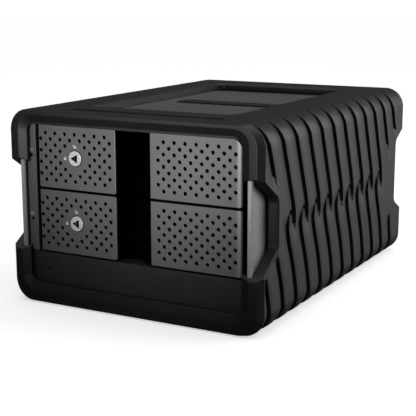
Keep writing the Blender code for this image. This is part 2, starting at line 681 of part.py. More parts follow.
def latch_grille(tray, z):
    """Perforated plate on the lever, with a round hole for the lock."""
    lock = (LOCK_X, z + TRAY_HEIGHT / 2)
    outline = rounded((FACE_LEFT, z), (LATCH_RIGHT, z + TRAY_HEIGHT), (0, PLATE_CORNER, PLATE_CORNER, 0))
    holes = hole_grid(FACE_LEFT, LATCH_RIGHT, z, z + TRAY_HEIGHT, LATCH_FIRST_HOLE, lock)
    holes.append(circle(lock, LOCK_RADIUS + LOCK_CLEARANCE))
    return plate(f"{tray}_latch_grille", [outline, *holes], "Y", FACE_Y, PLATE_BACK, "panel_metal")


def latch_frame(tray, z):
    """The lever's body behind its plate: a rim, a bar that holds the lock, and a thick end on the pin."""
    low = z + BEZEL_INSET
    high = z + TRAY_HEIGHT - BEZEL_INSET
    barrel_low = low + EAR_HEIGHT + 2 * FIT_GAP
    barrel_high = high - EAR_HEIGHT - 2 * FIT_GAP
    left = FACE_LEFT + BEZEL_INSET
    right = LATCH_RIGHT - BEZEL_INSET
    step = HINGE_X + HINGE_BARREL + 3 * FIT_GAP
    outline = [(left, barrel_low), (step, barrel_low), (step, low), (right, low), (right, high), (step, high),
               (step, barrel_high), (left, barrel_high)]
    lock = (LOCK_X, z + TRAY_HEIGHT / 2)
    bar = LOCK_RADIUS + LOCK_CLEARANCE + 0.0019
    window_low = low + LATCH_FRAME_RIM
    window_high = high - LATCH_FRAME_RIM
    behind = FACE_Y + 2 * LATCH_FRAME_BACK
    windows = [box(f"{tray}_latch_window_{side}", (near, FACE_Y, window_low), (far, behind, window_high))
               for side, near, far in (("left", step + LATCH_FRAME_RIM / 2, LOCK_X - bar),
                                       ("right", LOCK_X + bar, right - LATCH_FRAME_RIM))]
    frame = plate(f"{tray}_latch_frame", [outline, circle(lock, LOCK_RADIUS + LOCK_CLEARANCE)], "Y",
                  PLATE_BACK + FIT_GAP, FACE_Y + LATCH_FRAME_BACK, "black_plastic")
    bore = rod(f"{tray}_bore", (HINGE_X, HINGE_Y, z + TRAY_HEIGHT / 2), PIN_RADIUS + PIN_CLEARANCE,
               TRAY_HEIGHT, "Z", segments=12)
    return cut(frame, bore, *windows)


def hinge_pin(tray, z):
    """Steel pin through the bezel's ears and the lever's barrel."""
    length = TRAY_HEIGHT - 2 * BEZEL_INSET - 2 * FIT_GAP
    return rod(f"{tray}_hinge_pin", (HINGE_X, HINGE_Y, z + TRAY_HEIGHT / 2), PIN_RADIUS, length, "Z",
               "bright_steel", 12)


def key_lock(tray, z):
    """Lock cylinder with its key slot, and the cam behind it."""
    height = z + TRAY_HEIGHT / 2
    back = FACE_Y + LATCH_FRAME_BACK + 0.0008
    front = FACE_Y - LOCK_PROUD
    cylinder = rod(f"{tray}_lock_cylinder", (LOCK_X, (front + back) / 2, height), LOCK_RADIUS, back - front,
                   "Y", "bright_steel", 24)
    slot = box(f"{tray}_key_slot", (LOCK_X - 0.0005, front - 0.001, height - 0.0018),
               (LOCK_X + 0.0005, front + 0.005, height + 0.0018))
    cut(cylinder, slot)
    cam_front = back + FIT_GAP
    half = CAM_WIDTH / 2
    outline = arc((LOCK_X, height), half, 180, 360, 6)
    outline += arc((LOCK_X, height + CAM_LENGTH - half), half, 0, 180, 6)
    cam = plate(f"{tray}_lock_cam", [outline], "Y", cam_front, cam_front + CAM_THICKNESS, "bright_steel")
    return cylinder, cam


def scoop_outline(back):
    """Plan of the finger scoop's right wall: it leaves the fixed plate's edge and curves back to the left."""
    front = PLATE_BACK + FIT_GAP
    depth = back - front
    points = []
    for index in range(SCOOP_SEGMENTS + 1):
        share = index / SCOOP_SEGMENTS
        points.append((FIXED_LEFT + BEZEL_INSET - SCOOP_REACH * share,
                       front + depth * (1 - math.cos(math.pi * share)) / 2))
    overlap = BEZEL_WALL / 2
    return points + [(points[-1][0], back + overlap), (FIXED_LEFT + 2 * BEZEL_WALL, back + overlap),
                     (FIXED_LEFT + 2 * BEZEL_WALL, front)]


def tray_bezel(tray, z):
    """The tray's moulded nose: rear wall with vents, finger scoop, box behind the fixed plate, hinge ears."""
    low = z + BEZEL_INSET
    high = z + TRAY_HEIGHT - BEZEL_INSET
    left = FACE_LEFT + BEZEL_INSET
    right = FACE_RIGHT - BEZEL_INSET
    corner = OPENING_CORNER if tray == "upper" else PLATE_CORNER
    vent_low = low + 0.006
    vent_high = high - 0.006
    vents = [box(f"{tray}_vent_{side}", (near, BEZEL_WALL_FRONT - BEZEL_WALL, vent_low),
                 (far, BEZEL_WALL_FRONT + 2 * BEZEL_WALL, vent_high))
             for side, near, far in (("left", HINGE_X + 0.0055, LATCH_RIGHT - 0.006),
                                     ("right", FIXED_LEFT + 0.0065, right - 0.006))]
    bezel = plate(f"{tray}_tray_bezel", [rounded((left, low), (right, high), (0, 0, corner, 0))], "Y",
                  BEZEL_WALL_FRONT, BEZEL_WALL_FRONT + BEZEL_WALL, "black_plastic")
    overlap = BEZEL_WALL / 2
    wall = plate(f"{tray}_fixed_box", [
        rounded((FIXED_LEFT + BEZEL_INSET, low), (right, high), (0, 0, corner, 0)),
        rounded((FIXED_LEFT + 2 * BEZEL_WALL - overlap, low + BEZEL_WALL),
                (right - BEZEL_WALL, high - BEZEL_WALL),
                (0, 0, corner - BEZEL_WALL if tray == "upper" else 0, 0)),
    ], "Y", PLATE_BACK + FIT_GAP, BEZEL_WALL_FRONT + overlap)
    scoop = plate(f"{tray}_scoop", [scoop_outline(BEZEL_WALL_FRONT)], "Z", low, high)
    ear_outline = arc((HINGE_X, HINGE_Y), HINGE_BARREL, 180, 360, 8)
    ear_outline += [(HINGE_X + HINGE_BARREL, BEZEL_WALL_FRONT + overlap),
                    (HINGE_X - HINGE_BARREL, BEZEL_WALL_FRONT + overlap)]
    ears = [plate(f"{tray}_{name}_ear", [ear_outline], "Z", start, start + EAR_HEIGHT)
            for name, start in (("bottom", low), ("top", high - EAR_HEIGHT))]
    bore = rod(f"{tray}_ear_bore", (HINGE_X, HINGE_Y, z + TRAY_HEIGHT / 2), PIN_RADIUS + PIN_CLEARANCE,
               TRAY_HEIGHT, "Z", segments=12)
    join(bezel, wall, scoop, *ears)
    return cut(bezel, bore, *vents)


def tray_chassis(tray, z):
    """Folded steel channel that carries the drive, with a wing on each side that runs on a rail."""
    floor = z + CHASSIS_FLOOR_RISE
    top = z + TRAY_HEIGHT - CHASSIS_WALL_DROP
    wing = z + WING_RISE
    right = [(CHASSIS_HALF, floor), (CHASSIS_HALF, wing), (CHASSIS_HALF + WING_REACH, wing),
             (CHASSIS_HALF + WING_REACH, wing + SHEET), (CHASSIS_HALF, wing + SHEET), (CHASSIS_HALF, top),
             (CHASSIS_HALF - SHEET, top), (CHASSIS_HALF - SHEET, floor + SHEET)]
    outline = [(DRIVE_X + x, v) for x, v in right] + [(DRIVE_X - x, v) for x, v in reversed(right)]
    front = BEZEL_WALL_FRONT + BEZEL_WALL + FIT_GAP
    chassis = plate(f"{tray}_tray_chassis", [outline], "Y", front, DRIVE_REAR - CHASSIS_TAIL, "sheet_steel")
    half = DRIVE_WIDTH / 2 - 0.012
    centres = [DRIVE_FRONT + DRIVE_LENGTH * (index + 0.5) / FLOOR_SLOTS for index in range(FLOOR_SLOTS)]
    slots = [box(f"{tray}_floor_slot_{index}", (DRIVE_X - half, y - FLOOR_SLOT / 2, floor - 0.001),
                 (DRIVE_X + half, y + FLOOR_SLOT / 2, floor + SHEET + 0.001))
             for index, y in enumerate(centres)]
    return cut(chassis, *slots)


def hard_drive(tray, z):
    """The 3.5-inch drive on the tray."""
    low = z + CHASSIS_FLOOR_RISE + SHEET + FIT_GAP
    half = DRIVE_WIDTH / 2
    drive = box(f"{tray}_hard_drive", (DRIVE_X - half, DRIVE_FRONT + FIT_GAP, low),
                (DRIVE_X + half, DRIVE_REAR, low + DRIVE_HEIGHT), "drive_casting")
    bevel = drive.modifiers.new("edges", "BEVEL")
    bevel.width = 0.001
    bevel.segments = 1
    return drive


def tray_assembly(tray, z):
    """One tray with its lever and lock, parented to empties on their joint axes."""
    slide = joint_empty(f"{tray}_tray_slide", (DRIVE_X, FACE_Y, z))
    lever = joint_empty(f"{tray}_latch_hinge", (HINGE_X, HINGE_Y, z + TRAY_HEIGHT / 2), slide)
    lock = joint_empty(f"{tray}_lock_axis", (LOCK_X, FACE_Y, z + TRAY_HEIGHT / 2), lever)
    carry(slide, fixed_grille(tray, z), tray_bezel(tray, z), tray_chassis(tray, z), hard_drive(tray, z),
          hinge_pin(tray, z))
    carry(lever, latch_grille(tray, z), latch_frame(tray, z))
    carry(lock, *key_lock(tray, z))


# ---- cage and boards --------------------------------------------------------------------------------
def drive_cage():
    """Four steel sheets around the trays, and a plastic rail under each tray wing."""
    low = FASCIA_TOP - CAGE_PANEL - FIT_GAP
    high = TUBE_ROOF - FIT_GAP
    outer = CAGE_INNER_HALF + SHEET
    for name, bottom in (("cage_floor", low), ("cage_roof", high - CAGE_PANEL)):
        box(name, (DRIVE_X - outer, CAGE_FRONT, bottom), (DRIVE_X + outer, CAGE_REAR, bottom + CAGE_PANEL),
            "sheet_steel")
    for side, sign in (("left", -1), ("right", 1)):
        xs = sorted((DRIVE_X + sign * CAGE_INNER_HALF, DRIVE_X + sign * outer))
        box(f"cage_{side}_wall", (xs[0], CAGE_FRONT, low + CAGE_PANEL + FIT_GAP),
            (xs[1], CAGE_REAR, high - CAGE_PANEL - FIT_GAP), "sheet_steel")
        rail = sorted((DRIVE_X + sign * (CAGE_INNER_HALF - FIT_GAP),
                       DRIVE_X + sign * (CAGE_INNER_HALF - FIT_GAP - RAIL_WIDTH)))
        for tray, z in TRAYS:
            top = z + WING_RISE - FIT_GAP
            box(f"{tray}_{side}_rail", (rail[0], CAGE_FRONT + 0.002, top - RAIL_HEIGHT),
                (rail[1], DRIVE_REAR - 0.004, top), "black_plastic")


def boards():
    """Backplane behind the drives, its two connectors, and the controller board under the cage."""
    front = DRIVE_REAR + BACKPLANE_GAP
    half = DRIVE_WIDTH / 2
    box("backplane_board", (DRIVE_X - half, front, FASCIA_TOP), (DRIVE_X + half, front + BOARD_THICKNESS,
        TUBE_ROOF - 0.003), "circuit_board")
    for tray, z in TRAYS:
        low = z + CHASSIS_FLOOR_RISE + SHEET + SATA_RISE
        left = DRIVE_X - half + SATA_INSET
        box(f"{tray}_drive_connector", (left, DRIVE_REAR + FIT_GAP, low),
            (left + SATA_WIDTH, front - FIT_GAP, low + SATA_HEIGHT), "black_plastic")
    board_low = TUBE_FLOOR + BOARD_RISE
    rear = PANEL_INNER_Y - SWITCH_DEPTH
    box("controller_board", (-TUBE_INNER_HALF + 0.004, DRIVE_FRONT, board_low),
        (TUBE_INNER_HALF - 0.004, rear, BOARD_TOP), "circuit_board")
    low = BOARD_TOP + FIT_GAP
    half = SINK_SIZE / 2
    rear = SINK_FRONT + SINK_SIZE
    left = FIT_GAP - half
    pitch = (SINK_SIZE - SINK_FIN - 2 * FIT_GAP) / (SINK_FINS - 1)
    sink = box("heat_sink", (-half, SINK_FRONT, low), (half, rear, low + SINK_BASE), "panel_metal")
    join(sink, *[box(f"sink_fin_{index}", (left + index * pitch, SINK_FRONT + FIT_GAP, low + SINK_BASE / 2),
                     (left + index * pitch + SINK_FIN, rear - FIT_GAP, low + SINK_HEIGHT))
                 for index in range(SINK_FINS)])


# ---- rear ---------------------------------------------------------------------------------------------
def fan_corners():
    """Screw places of the fan."""
    half = FAN_SIZE / 2 - FAN_SCREW_INSET
    return [(FAN_X + sx * half, FAN_Z + sz * half) for sz in (-1, 1) for sx in (-1, 1)]


def vent_slots():
    """Upright slots in the rear panel, beside the fan."""
    left = FAN_X + FAN_SIZE / 2 + VENT_GAP
    count = int((TUBE_INNER_HALF - VENT_MARGIN - left) / VENT_PITCH)
    low = FAN_Z - VENT_HEIGHT / 2
    high = FAN_Z + VENT_HEIGHT / 2
    return [rounded((left + index * VENT_PITCH, low), (left + index * VENT_PITCH + VENT_WIDTH, high),
                    (VENT_CORNER,) * 4, 2) for index in range(count)]


def around(x, half_x, half_z, corner=0.0, steps=4):
    """Outline with these half sizes around a point at the sockets' height."""
    return rounded((x - half_x, PORT_Z - half_z), (x + half_x, PORT_Z + half_z), (corner,) * 4, steps)


def rear_panel():
    """Plate that closes the tube's rear end, with openings for the fan, the sockets and the controls."""
    side = TUBE_INNER_HALF - FIT_GAP
    corner = TUBE_OUTER_RADIUS - TUBE_WALL
    hole = SCREW_SHANK_RADIUS + FIT_GAP
    outline = rounded((-side, TUBE_FLOOR + FIT_GAP), (side, TUBE_ROOF - FIT_GAP), (corner,) * 4)
    openings = [circle((FAN_X, FAN_Z), FAN_BORE, 32)]
    openings += [circle(spot, hole, 8) for spot in fan_corners() + PANEL_SCREWS]
    openings += vent_slots()
    jack = JACK_SIZE / 2 + FIT_GAP
    openings.append(around(JACK_X, jack, jack))
    for x in USB_XS:
        openings.append(around(x, USB_WIDTH / 2 + FIT_GAP, USB_HEIGHT / 2 + FIT_GAP, USB_CORNER, 2))
    openings.append(circle((DIAL_X, PORT_Z), DIAL_RADIUS + FIT_GAP))
    openings.append(circle((BUTTON_X, PORT_Z), BUTTON_RADIUS + FIT_GAP, 16))
    switch_x = ROCKER_WIDTH / 2 + SWITCH_RIM / 2 + FIT_GAP
    switch_z = ROCKER_HEIGHT / 2 + SWITCH_RIM / 2 + FIT_GAP
    openings.append(around(SWITCH_X, switch_x, switch_z))
    return plate("rear_panel", [outline, *openings], "Y", PANEL_INNER_Y, PANEL_REAR_Y, "panel_metal")


def fan():
    """Square fan frame with its motor mount, the rotor on a continuous joint, the guard and its screws."""
    rear = PANEL_INNER_Y - FIT_GAP
    front = rear - FAN_DEPTH
    half = FAN_SIZE / 2
    hole = SCREW_SHANK_RADIUS + FIT_GAP
    corners = [circle(spot, hole, 8) for spot in fan_corners()]
    frame = plate("fan_frame", [
        rounded((FAN_X - half, FAN_Z - half), (FAN_X + half, FAN_Z + half), (FAN_CORNER,) * 4, 2),
        circle((FAN_X, FAN_Z), FAN_BORE, 32), *corners,
    ], "Y", front, rear, "black_plastic")
    hub = rod("fan_hub", (FAN_X, front + FAN_MOUNT / 2, FAN_Z), ROTOR_HUB, FAN_MOUNT, "Y")
    reach = FAN_BORE + FAN_RIM / 2
    back = front + FAN_MOUNT
    bars = [box("fan_strut_x", (FAN_X - reach, front + SKIN, FAN_Z - FAN_STRUT / 2),
                (FAN_X + reach, back - SKIN, FAN_Z + FAN_STRUT / 2)),
            box("fan_strut_z", (FAN_X - FAN_STRUT / 2, front + 2 * SKIN, FAN_Z - reach),
                (FAN_X + FAN_STRUT / 2, back - 2 * SKIN, FAN_Z + reach))]
    join(frame, hub, *bars)
    axis = joint_empty("fan_axis", (FAN_X, (front + rear) / 2, FAN_Z))
    carry(axis, fan_rotor(front + FAN_MOUNT + FIT_GAP, rear - ROTOR_REAR_GAP))
    guard_front = PANEL_REAR_Y + FIT_GAP
    guard_back = guard_front + GUARD_THICKNESS
    plate("fan_guard", [
        rounded((FAN_X - half, FAN_Z - half), (FAN_X + half, FAN_Z + half), (FAN_SCREW_INSET,) * 4, 2),
        *guard_slots(), *corners,
    ], "Y", guard_front, guard_back, "bright_steel")
    for index, (x, z) in enumerate(fan_corners(), 1):
        screw(f"fan_screw_{index}", x, guard_back + FIT_GAP, z, 2 * SCREW_SHANK)


def guard_slots():
    """Curved slots of the fan guard, in four quarters of each ring."""
    slots = []
    for ring_index in range(GUARD_RINGS):
        inner = GUARD_FIRST_SLOT + ring_index * (GUARD_SLOT + GUARD_WEB)
        outer = inner + GUARD_SLOT
        for quarter in range(4):
            start = quarter * 90 + 45
            gap_in = math.degrees(GUARD_WEB / inner)
            gap_out = math.degrees(GUARD_WEB / outer)
            slots.append(arc((FAN_X, FAN_Z), inner, start + gap_in, start + 90 - gap_in, 4)
                         + arc((FAN_X, FAN_Z), outer, start + 90 - gap_out, start + gap_out, 4))
    return slots


def fan_rotor(front, rear):
    """Hub and pitched blades."""
    centre = (front + rear) / 2
    rotor = rod("fan_rotor", (FAN_X, centre, FAN_Z), ROTOR_HUB, rear - front, "Y", "black_plastic")
    reach = FAN_BORE - ROTOR_TIP_GAP - ROTOR_HUB + BLADE_ROOT
    middle = ROTOR_HUB - BLADE_ROOT + reach / 2
    chord = (rear - front) * BLADE_DEPTH_SHARE
    for index in range(ROTOR_BLADES):
        turn = 2 * math.pi * index / ROTOR_BLADES
        blade = box(f"blade_{index}", (-BLADE_THICKNESS / 2, -chord / 2, -reach / 2),
                    (BLADE_THICKNESS / 2, chord / 2, reach / 2))
        blade.rotation_mode = "ZXY"
        blade.rotation_euler = (0, turn, BLADE_PITCH)
        blade.location = (FAN_X + middle * math.sin(turn), centre, FAN_Z + middle * math.cos(turn))
        join(rotor, blade)
    return rotor


def screw(name, x, front, z, shank):
    """Pan head outside a face at this y, and a shank that goes back through it."""
    head = rod(name, (x, front + SCREW_HEAD_HEIGHT / 2, z), SCREW_HEAD_RADIUS, SCREW_HEAD_HEIGHT, "Y",
               "bright_steel", 12)
    overlap = SCREW_HEAD_HEIGHT * 0.8
    stem = rod(name + "_shank", (x, front + (overlap - shank) / 2, z), SCREW_SHANK_RADIUS, shank + overlap, "Y",
               segments=8)
    return join(head, stem)


def panel_screws():
    """Screws that hold the rear panel."""
    for index, (x, z) in enumerate(PANEL_SCREWS, 1):
        screw(f"panel_screw_{index}", x, PANEL_REAR_Y + FIT_GAP, z, SCREW_SHANK)


def sockets():
    """Power inlet and two data ports, which stand on the controller board and reach through the panel."""
    outside = PANEL_REAR_Y + SOCKET_PROUD
    half = JACK_SIZE / 2
    jack = box("power_inlet", (JACK_X - half, PANEL_INNER_Y - JACK_DEPTH, PORT_Z - half),
               (JACK_X + half, outside, PORT_Z + half), "black_plastic")
    cut(jack, rod("inlet_bore", (JACK_X, outside, PORT_Z), JACK_BORE, 2 * JACK_BORE_DEPTH, "Y"))
    half_x = USB_WIDTH / 2
    half_z = USB_HEIGHT / 2
    for index, x in enumerate(USB_XS, 1):
        port = plate(f"data_port_{index}", [around(x, half_x, half_z, USB_CORNER, 2)], "Y",
                     PANEL_INNER_Y - USB_DEPTH, outside, "bright_steel")
        inner = around(x, half_x - USB_WALL, half_z - USB_WALL, USB_CORNER - USB_WALL, 2)
        cut(port, plate(f"port_mouth_{index}", [inner], "Y", outside - USB_MOUTH_DEPTH, outside + USB_WALL))


def controls():
    """Power rocker in its frame, mode dial and confirm button, each on an empty at its joint."""
    outside = PANEL_REAR_Y + FIT_GAP
    rim_x = ROCKER_WIDTH / 2 + FIT_GAP
    rim_z = ROCKER_HEIGHT / 2 + FIT_GAP
    mouth = around(SWITCH_X, rim_x, rim_z)
    frame = plate("switch_frame",
                  [around(SWITCH_X, rim_x + SWITCH_RIM, rim_z + SWITCH_RIM, SWITCH_CORNER, 2), mouth],
                  "Y", outside, outside + SWITCH_PROUD, "black_plastic")
    shell = around(SWITCH_X, (ROCKER_WIDTH + SWITCH_RIM) / 2, (ROCKER_HEIGHT + SWITCH_RIM) / 2)
    collar = plate("switch_collar", [shell, mouth], "Y", outside - SWITCH_DEPTH, outside + SWITCH_PROUD / 2)
    join(frame, collar)
    pivot_y = outside - ROCKER_PIVOT_DEPTH
    pivot = joint_empty("rocker_axis", (SWITCH_X, pivot_y, PORT_Z))
    carry(pivot, rocker(pivot_y))
    dial_axis = joint_empty("dial_axis", (DIAL_X, PANEL_REAR_Y, PORT_Z))
    dial_centre = (DIAL_X, PANEL_REAR_Y - DIAL_SINK, PORT_Z)
    dial = rod("mode_dial", dial_centre, DIAL_RADIUS, DIAL_LENGTH, "Y", "black_plastic")
    slot_x = DIAL_SLOT_WIDTH / 2
    slot_z = DIAL_SLOT_LENGTH / 2
    cut(dial, box("dial_slot", (DIAL_X - slot_x, PANEL_REAR_Y + DIAL_SLOT_FLOOR, PORT_Z - slot_z),
                  (DIAL_X + slot_x, PANEL_REAR_Y + DIAL_LENGTH / 2, PORT_Z + slot_z)))
    carry(dial_axis, dial)
    button_axis = joint_empty("button_axis", (BUTTON_X, PANEL_REAR_Y, PORT_Z))
    centre = PANEL_REAR_Y + BUTTON_TRAVEL + FIT_GAP - BUTTON_LENGTH / 2
    carry(button_axis, rod("confirm_button", (BUTTON_X, centre, PORT_Z), BUTTON_RADIUS, BUTTON_LENGTH, "Y",
                           "black_plastic", 16))


def rocker(pivot_y):
    """Rocker with a shallow V face, tilted to its off position."""
    half = ROCKER_HEIGHT / 2 - 2 * ROCKER_PLAY
    dish = math.tan(ROCKER_TILT) * half
    outline = [(-0.003, -half * 0.5), (-0.003, half * 0.5), (0.0012, half), (0.0026 + dish, half), (0.0026, 0),
               (0.0026 + dish, -half), (0.0012, -half)]
    tilted = [(y * math.cos(ROCKER_TILT) - v * math.sin(ROCKER_TILT),
               y * math.sin(ROCKER_TILT) + v * math.cos(ROCKER_TILT)) for y, v in outline]
    side = ROCKER_WIDTH / 2 - ROCKER_PLAY
    made = plate("power_rocker", [tilted], "X", -side, side, "black_plastic")
    made.location = (SWITCH_X, pivot_y, PORT_Z)
    return made


def main():
    rubber_sleeve()
    metal_housing()
    label_strip()
    indicator_strip()
    front_fascia()
    light_pipes()
    for tray, z in TRAYS:
        tray_assembly(tray, z)
    drive_cage()
    boards()
    rear_panel()
    fan()
    panel_screws()
    sockets()
    controls()


for leftover in list(bpy.data.objects):
    bpy.data.objects.remove(leftover)
PARTS = new_collection("drive_enclosure")
CUTTERS = new_collection("cutters")
main()
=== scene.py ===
"""Looks of a rugged two-bay drive enclosure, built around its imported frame.

A moulded rubber sleeve wraps an aluminium tube. Two drive trays slide out of the front, each with a perforated
lever that a round key lock holds shut. The rear panel carries a fan, the sockets and the controls. Every piece
takes its place from the frame's boxes. Metres, +Z up, front at -Y.
"""

import json
import logging
import math
from collections.abc import Callable, Iterable
from dataclasses import dataclass, replace
from enum import Enum

import bmesh
import bpy
import numpy as np
from mathutils import Matrix, Vector

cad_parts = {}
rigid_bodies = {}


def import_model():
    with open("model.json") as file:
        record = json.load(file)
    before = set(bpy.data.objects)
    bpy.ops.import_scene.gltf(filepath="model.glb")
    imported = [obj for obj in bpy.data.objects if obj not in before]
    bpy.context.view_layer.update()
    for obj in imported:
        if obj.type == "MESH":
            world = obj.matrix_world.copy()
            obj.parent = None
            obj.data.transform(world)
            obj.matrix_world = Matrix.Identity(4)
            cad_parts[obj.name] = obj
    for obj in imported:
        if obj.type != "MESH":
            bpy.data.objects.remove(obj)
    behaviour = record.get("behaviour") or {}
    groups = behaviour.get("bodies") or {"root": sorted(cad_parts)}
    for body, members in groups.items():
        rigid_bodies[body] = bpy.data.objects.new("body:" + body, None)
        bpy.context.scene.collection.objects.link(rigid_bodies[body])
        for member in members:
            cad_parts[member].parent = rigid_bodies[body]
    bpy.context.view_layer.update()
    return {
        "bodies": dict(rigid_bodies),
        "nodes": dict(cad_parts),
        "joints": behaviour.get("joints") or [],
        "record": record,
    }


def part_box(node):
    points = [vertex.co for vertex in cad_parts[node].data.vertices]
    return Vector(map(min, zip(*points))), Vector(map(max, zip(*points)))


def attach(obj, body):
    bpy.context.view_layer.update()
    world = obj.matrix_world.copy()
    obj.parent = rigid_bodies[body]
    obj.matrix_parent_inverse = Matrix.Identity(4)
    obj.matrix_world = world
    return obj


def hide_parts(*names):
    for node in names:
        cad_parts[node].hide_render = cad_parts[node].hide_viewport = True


LOG = logging.getLogger("drive_enclosure")
MM = 0.001
Mesh = bmesh.types.BMesh
Point = tuple[float, float]


class Axis(Enum):
    """The three directions of the frame."""

    X = 0
    Y = 1
    Z = 2

    def turn(self) -> Matrix:
        """Rotation that lays a shape made along +Z along this axis."""
        turns = {Axis.X: Matrix.Rotation(math.pi / 2, 4, "Y"), Axis.Y: Matrix.Rotation(-math.pi / 2, 4, "X")}
        return turns.get(self, Matrix.Identity(4))


class Bay(Enum):
    """The two tray bays, by the prefix of their frame nodes."""

    LOWER = "lower"
    UPPER = "upper"

    def node(self, part: str) -> str:
        """Name of this bay's frame node for a part."""
        return f"{self.value}_{part}"

    @property
    def tray(self) -> str:
        """Body that slides out."""
        return f"{self.value}_tray"

    @property
    def latch(self) -> str:
        """Body of the lever."""
        return f"{self.value}_latch"

    @property
    def lock(self) -> str:
        """Body of the key lock."""
        return f"{self.value}_lock"


# ---- finishes ----------------------------------------------------------------------------------------
class NodeTree:
    """Short calls for the shader nodes of one material."""

    def __init__(self, name: str) -> None:
        self.material = bpy.data.materials.new(name)
        self.material.use_nodes = True
        self.tree = self.material.node_tree
        self.shader = self.tree.nodes["Principled BSDF"]
        self.place = self.add("ShaderNodeTexCoord").outputs["Object"]

    def add(self, kind: str, **settings: object) -> bpy.types.Node:
        """A new node with these properties."""
        node = self.tree.nodes.new(kind)
        for key, value in settings.items():
            setattr(node, key, value)
        return node

    def link(self, source: bpy.types.NodeSocket, target: bpy.types.NodeSocket) -> None:
        """Joins two sockets."""
        self.tree.links.new(source, target)

    def stretched(self, scale: Vector) -> bpy.types.NodeSocket:
        """Object coordinates stretched by a scale for each axis."""
        mapping = self.add("ShaderNodeMapping")
        mapping.inputs["Scale"].default_value = scale
        self.link(self.place, mapping.inputs["Vector"])
        return mapping.outputs["Vector"]

    def noise(self, scale: float, detail: float = 3.0, place: bpy.types.NodeSocket | None = None
              ) -> bpy.types.NodeSocket:
        """Noise factor.

        Args:
            scale: cells in a metre.
            detail: octaves.
            place: coordinates, or None for plain object coordinates.

        Returns:
            The factor socket.
        """
        node = self.add("ShaderNodeTexNoise")
        node.inputs["Scale"].default_value = scale
        node.inputs["Detail"].default_value = detail
        self.link(place or self.place, node.inputs["Vector"])
        return node.outputs["Fac"]

    def between(self, factor: bpy.types.NodeSocket, low: float, high: float) -> bpy.types.NodeSocket:
        """The factor spread from low to high."""
        node = self.add("ShaderNodeMapRange")
        node.inputs["From Min"].default_value = 0.3
        node.inputs["From Max"].default_value = 0.7
        node.inputs["To Min"].default_value = low
        node.inputs["To Max"].default_value = high
        self.link(factor, node.inputs["Value"])
        return node.outputs["Result"]

    def tint(self, factor: bpy.types.NodeSocket, first: Iterable[float], second: Iterable[float]) -> None:
        """Base colour that runs from first to second with the factor."""
        node = self.add("ShaderNodeMix", data_type="RGBA")
        node.inputs["A"].default_value = (*first, 1)
        node.inputs["B"].default_value = (*second, 1)
        self.link(factor, node.inputs["Factor"])
        self.link(node.outputs["Result"], self.shader.inputs["Base Color"])

    def bump(self, height: bpy.types.NodeSocket, strength: float, distance: float) -> None:
        """Bump on the shader's normal."""
        node = self.add("ShaderNodeBump")
        node.inputs["Strength"].default_value = strength
        node.inputs["Distance"].default_value = distance
        self.link(height, node.inputs["Height"])
        self.link(node.outputs["Normal"], self.shader.inputs["Normal"])

    def constant(self, **values: float) -> None:
        """Numbers set straight on the shader's sockets; underscores in a name stand for spaces."""
        for key, value in values.items():
            self.shader.inputs[key.replace("_", " ")].default_value = value


@dataclass(frozen=True)
class Finish:
    """A surface finish: two close colours, a roughness range and a fine relief."""

    name: str
    slot: str
    colour: tuple[float, float, float]
    spread: float = 0.08  # how far the second colour lies from the first
    roughness: tuple[float, float] = (0.45, 0.55)
    metallic: float = 0.0
    specular: float = 0.5
    patch: float = 60.0  # cells of the slow variation in a metre
    grain: float = 2500.0  # cells of the relief in a metre
    relief: float = 0.00002
    relief_strength: float = 0.3

    def place(self, nodes: NodeTree) -> bpy.types.NodeSocket | None:
        """Coordinates of the grain; None is the plain ones."""
        return None

    def material(self) -> bpy.types.Material:
        """The finish's material, made on first use."""
        found = bpy.data.materials.get(self.name)
        if found:
            return found
        nodes = NodeTree(self.name)
        patch = nodes.noise(self.patch, 4.0)
        grain = nodes.noise(self.grain, 2.0, self.place(nodes))
        lighter = [channel * (1 + self.spread) for channel in self.colour]
        darker = [channel * (1 - self.spread) for channel in self.colour]
        nodes.tint(nodes.between(patch, 0, 1), darker, lighter)
        nodes.link(nodes.between(grain, *self.roughness), nodes.shader.inputs["Roughness"])
        nodes.bump(grain, self.relief_strength, self.relief)
        nodes.constant(Metallic=self.metallic, Specular_IOR_Level=self.specular)
        nodes.material.diffuse_color = (*self.colour, 1)
        self.extra(nodes)
        return nodes.material

    def extra(self, nodes: NodeTree) -> None:
        """Hook for what a special finish adds."""


@dataclass(frozen=True)
class BrushedFinish(Finish):
    """A metal with fine parallel scratches along one axis."""

    along: Axis = Axis.Z
    stretch: float = 0.03

    def place(self, nodes: NodeTree) -> bpy.types.NodeSocket | None:
        scale = Vector((1, 1, 1))
        scale[self.along.value] = self.stretch
        return nodes.stretched(scale)


@dataclass(frozen=True)
class FloorFinish(Finish):
    """A pale floor that glows a little, so that it stays even far from the lights."""

    glow: float = 0.58

    def extra(self, nodes: NodeTree) -> None:
        nodes.constant(Emission_Strength=self.glow)
        nodes.shader.inputs["Emission Color"].default_value = (1, 1, 1, 1)


@dataclass(frozen=True)
class LensFinish(Finish):
    """Smoked plastic over a lamp that is off."""

    def extra(self, nodes: NodeTree) -> None:
        nodes.constant(Transmission_Weight=0.6, IOR=1.49)


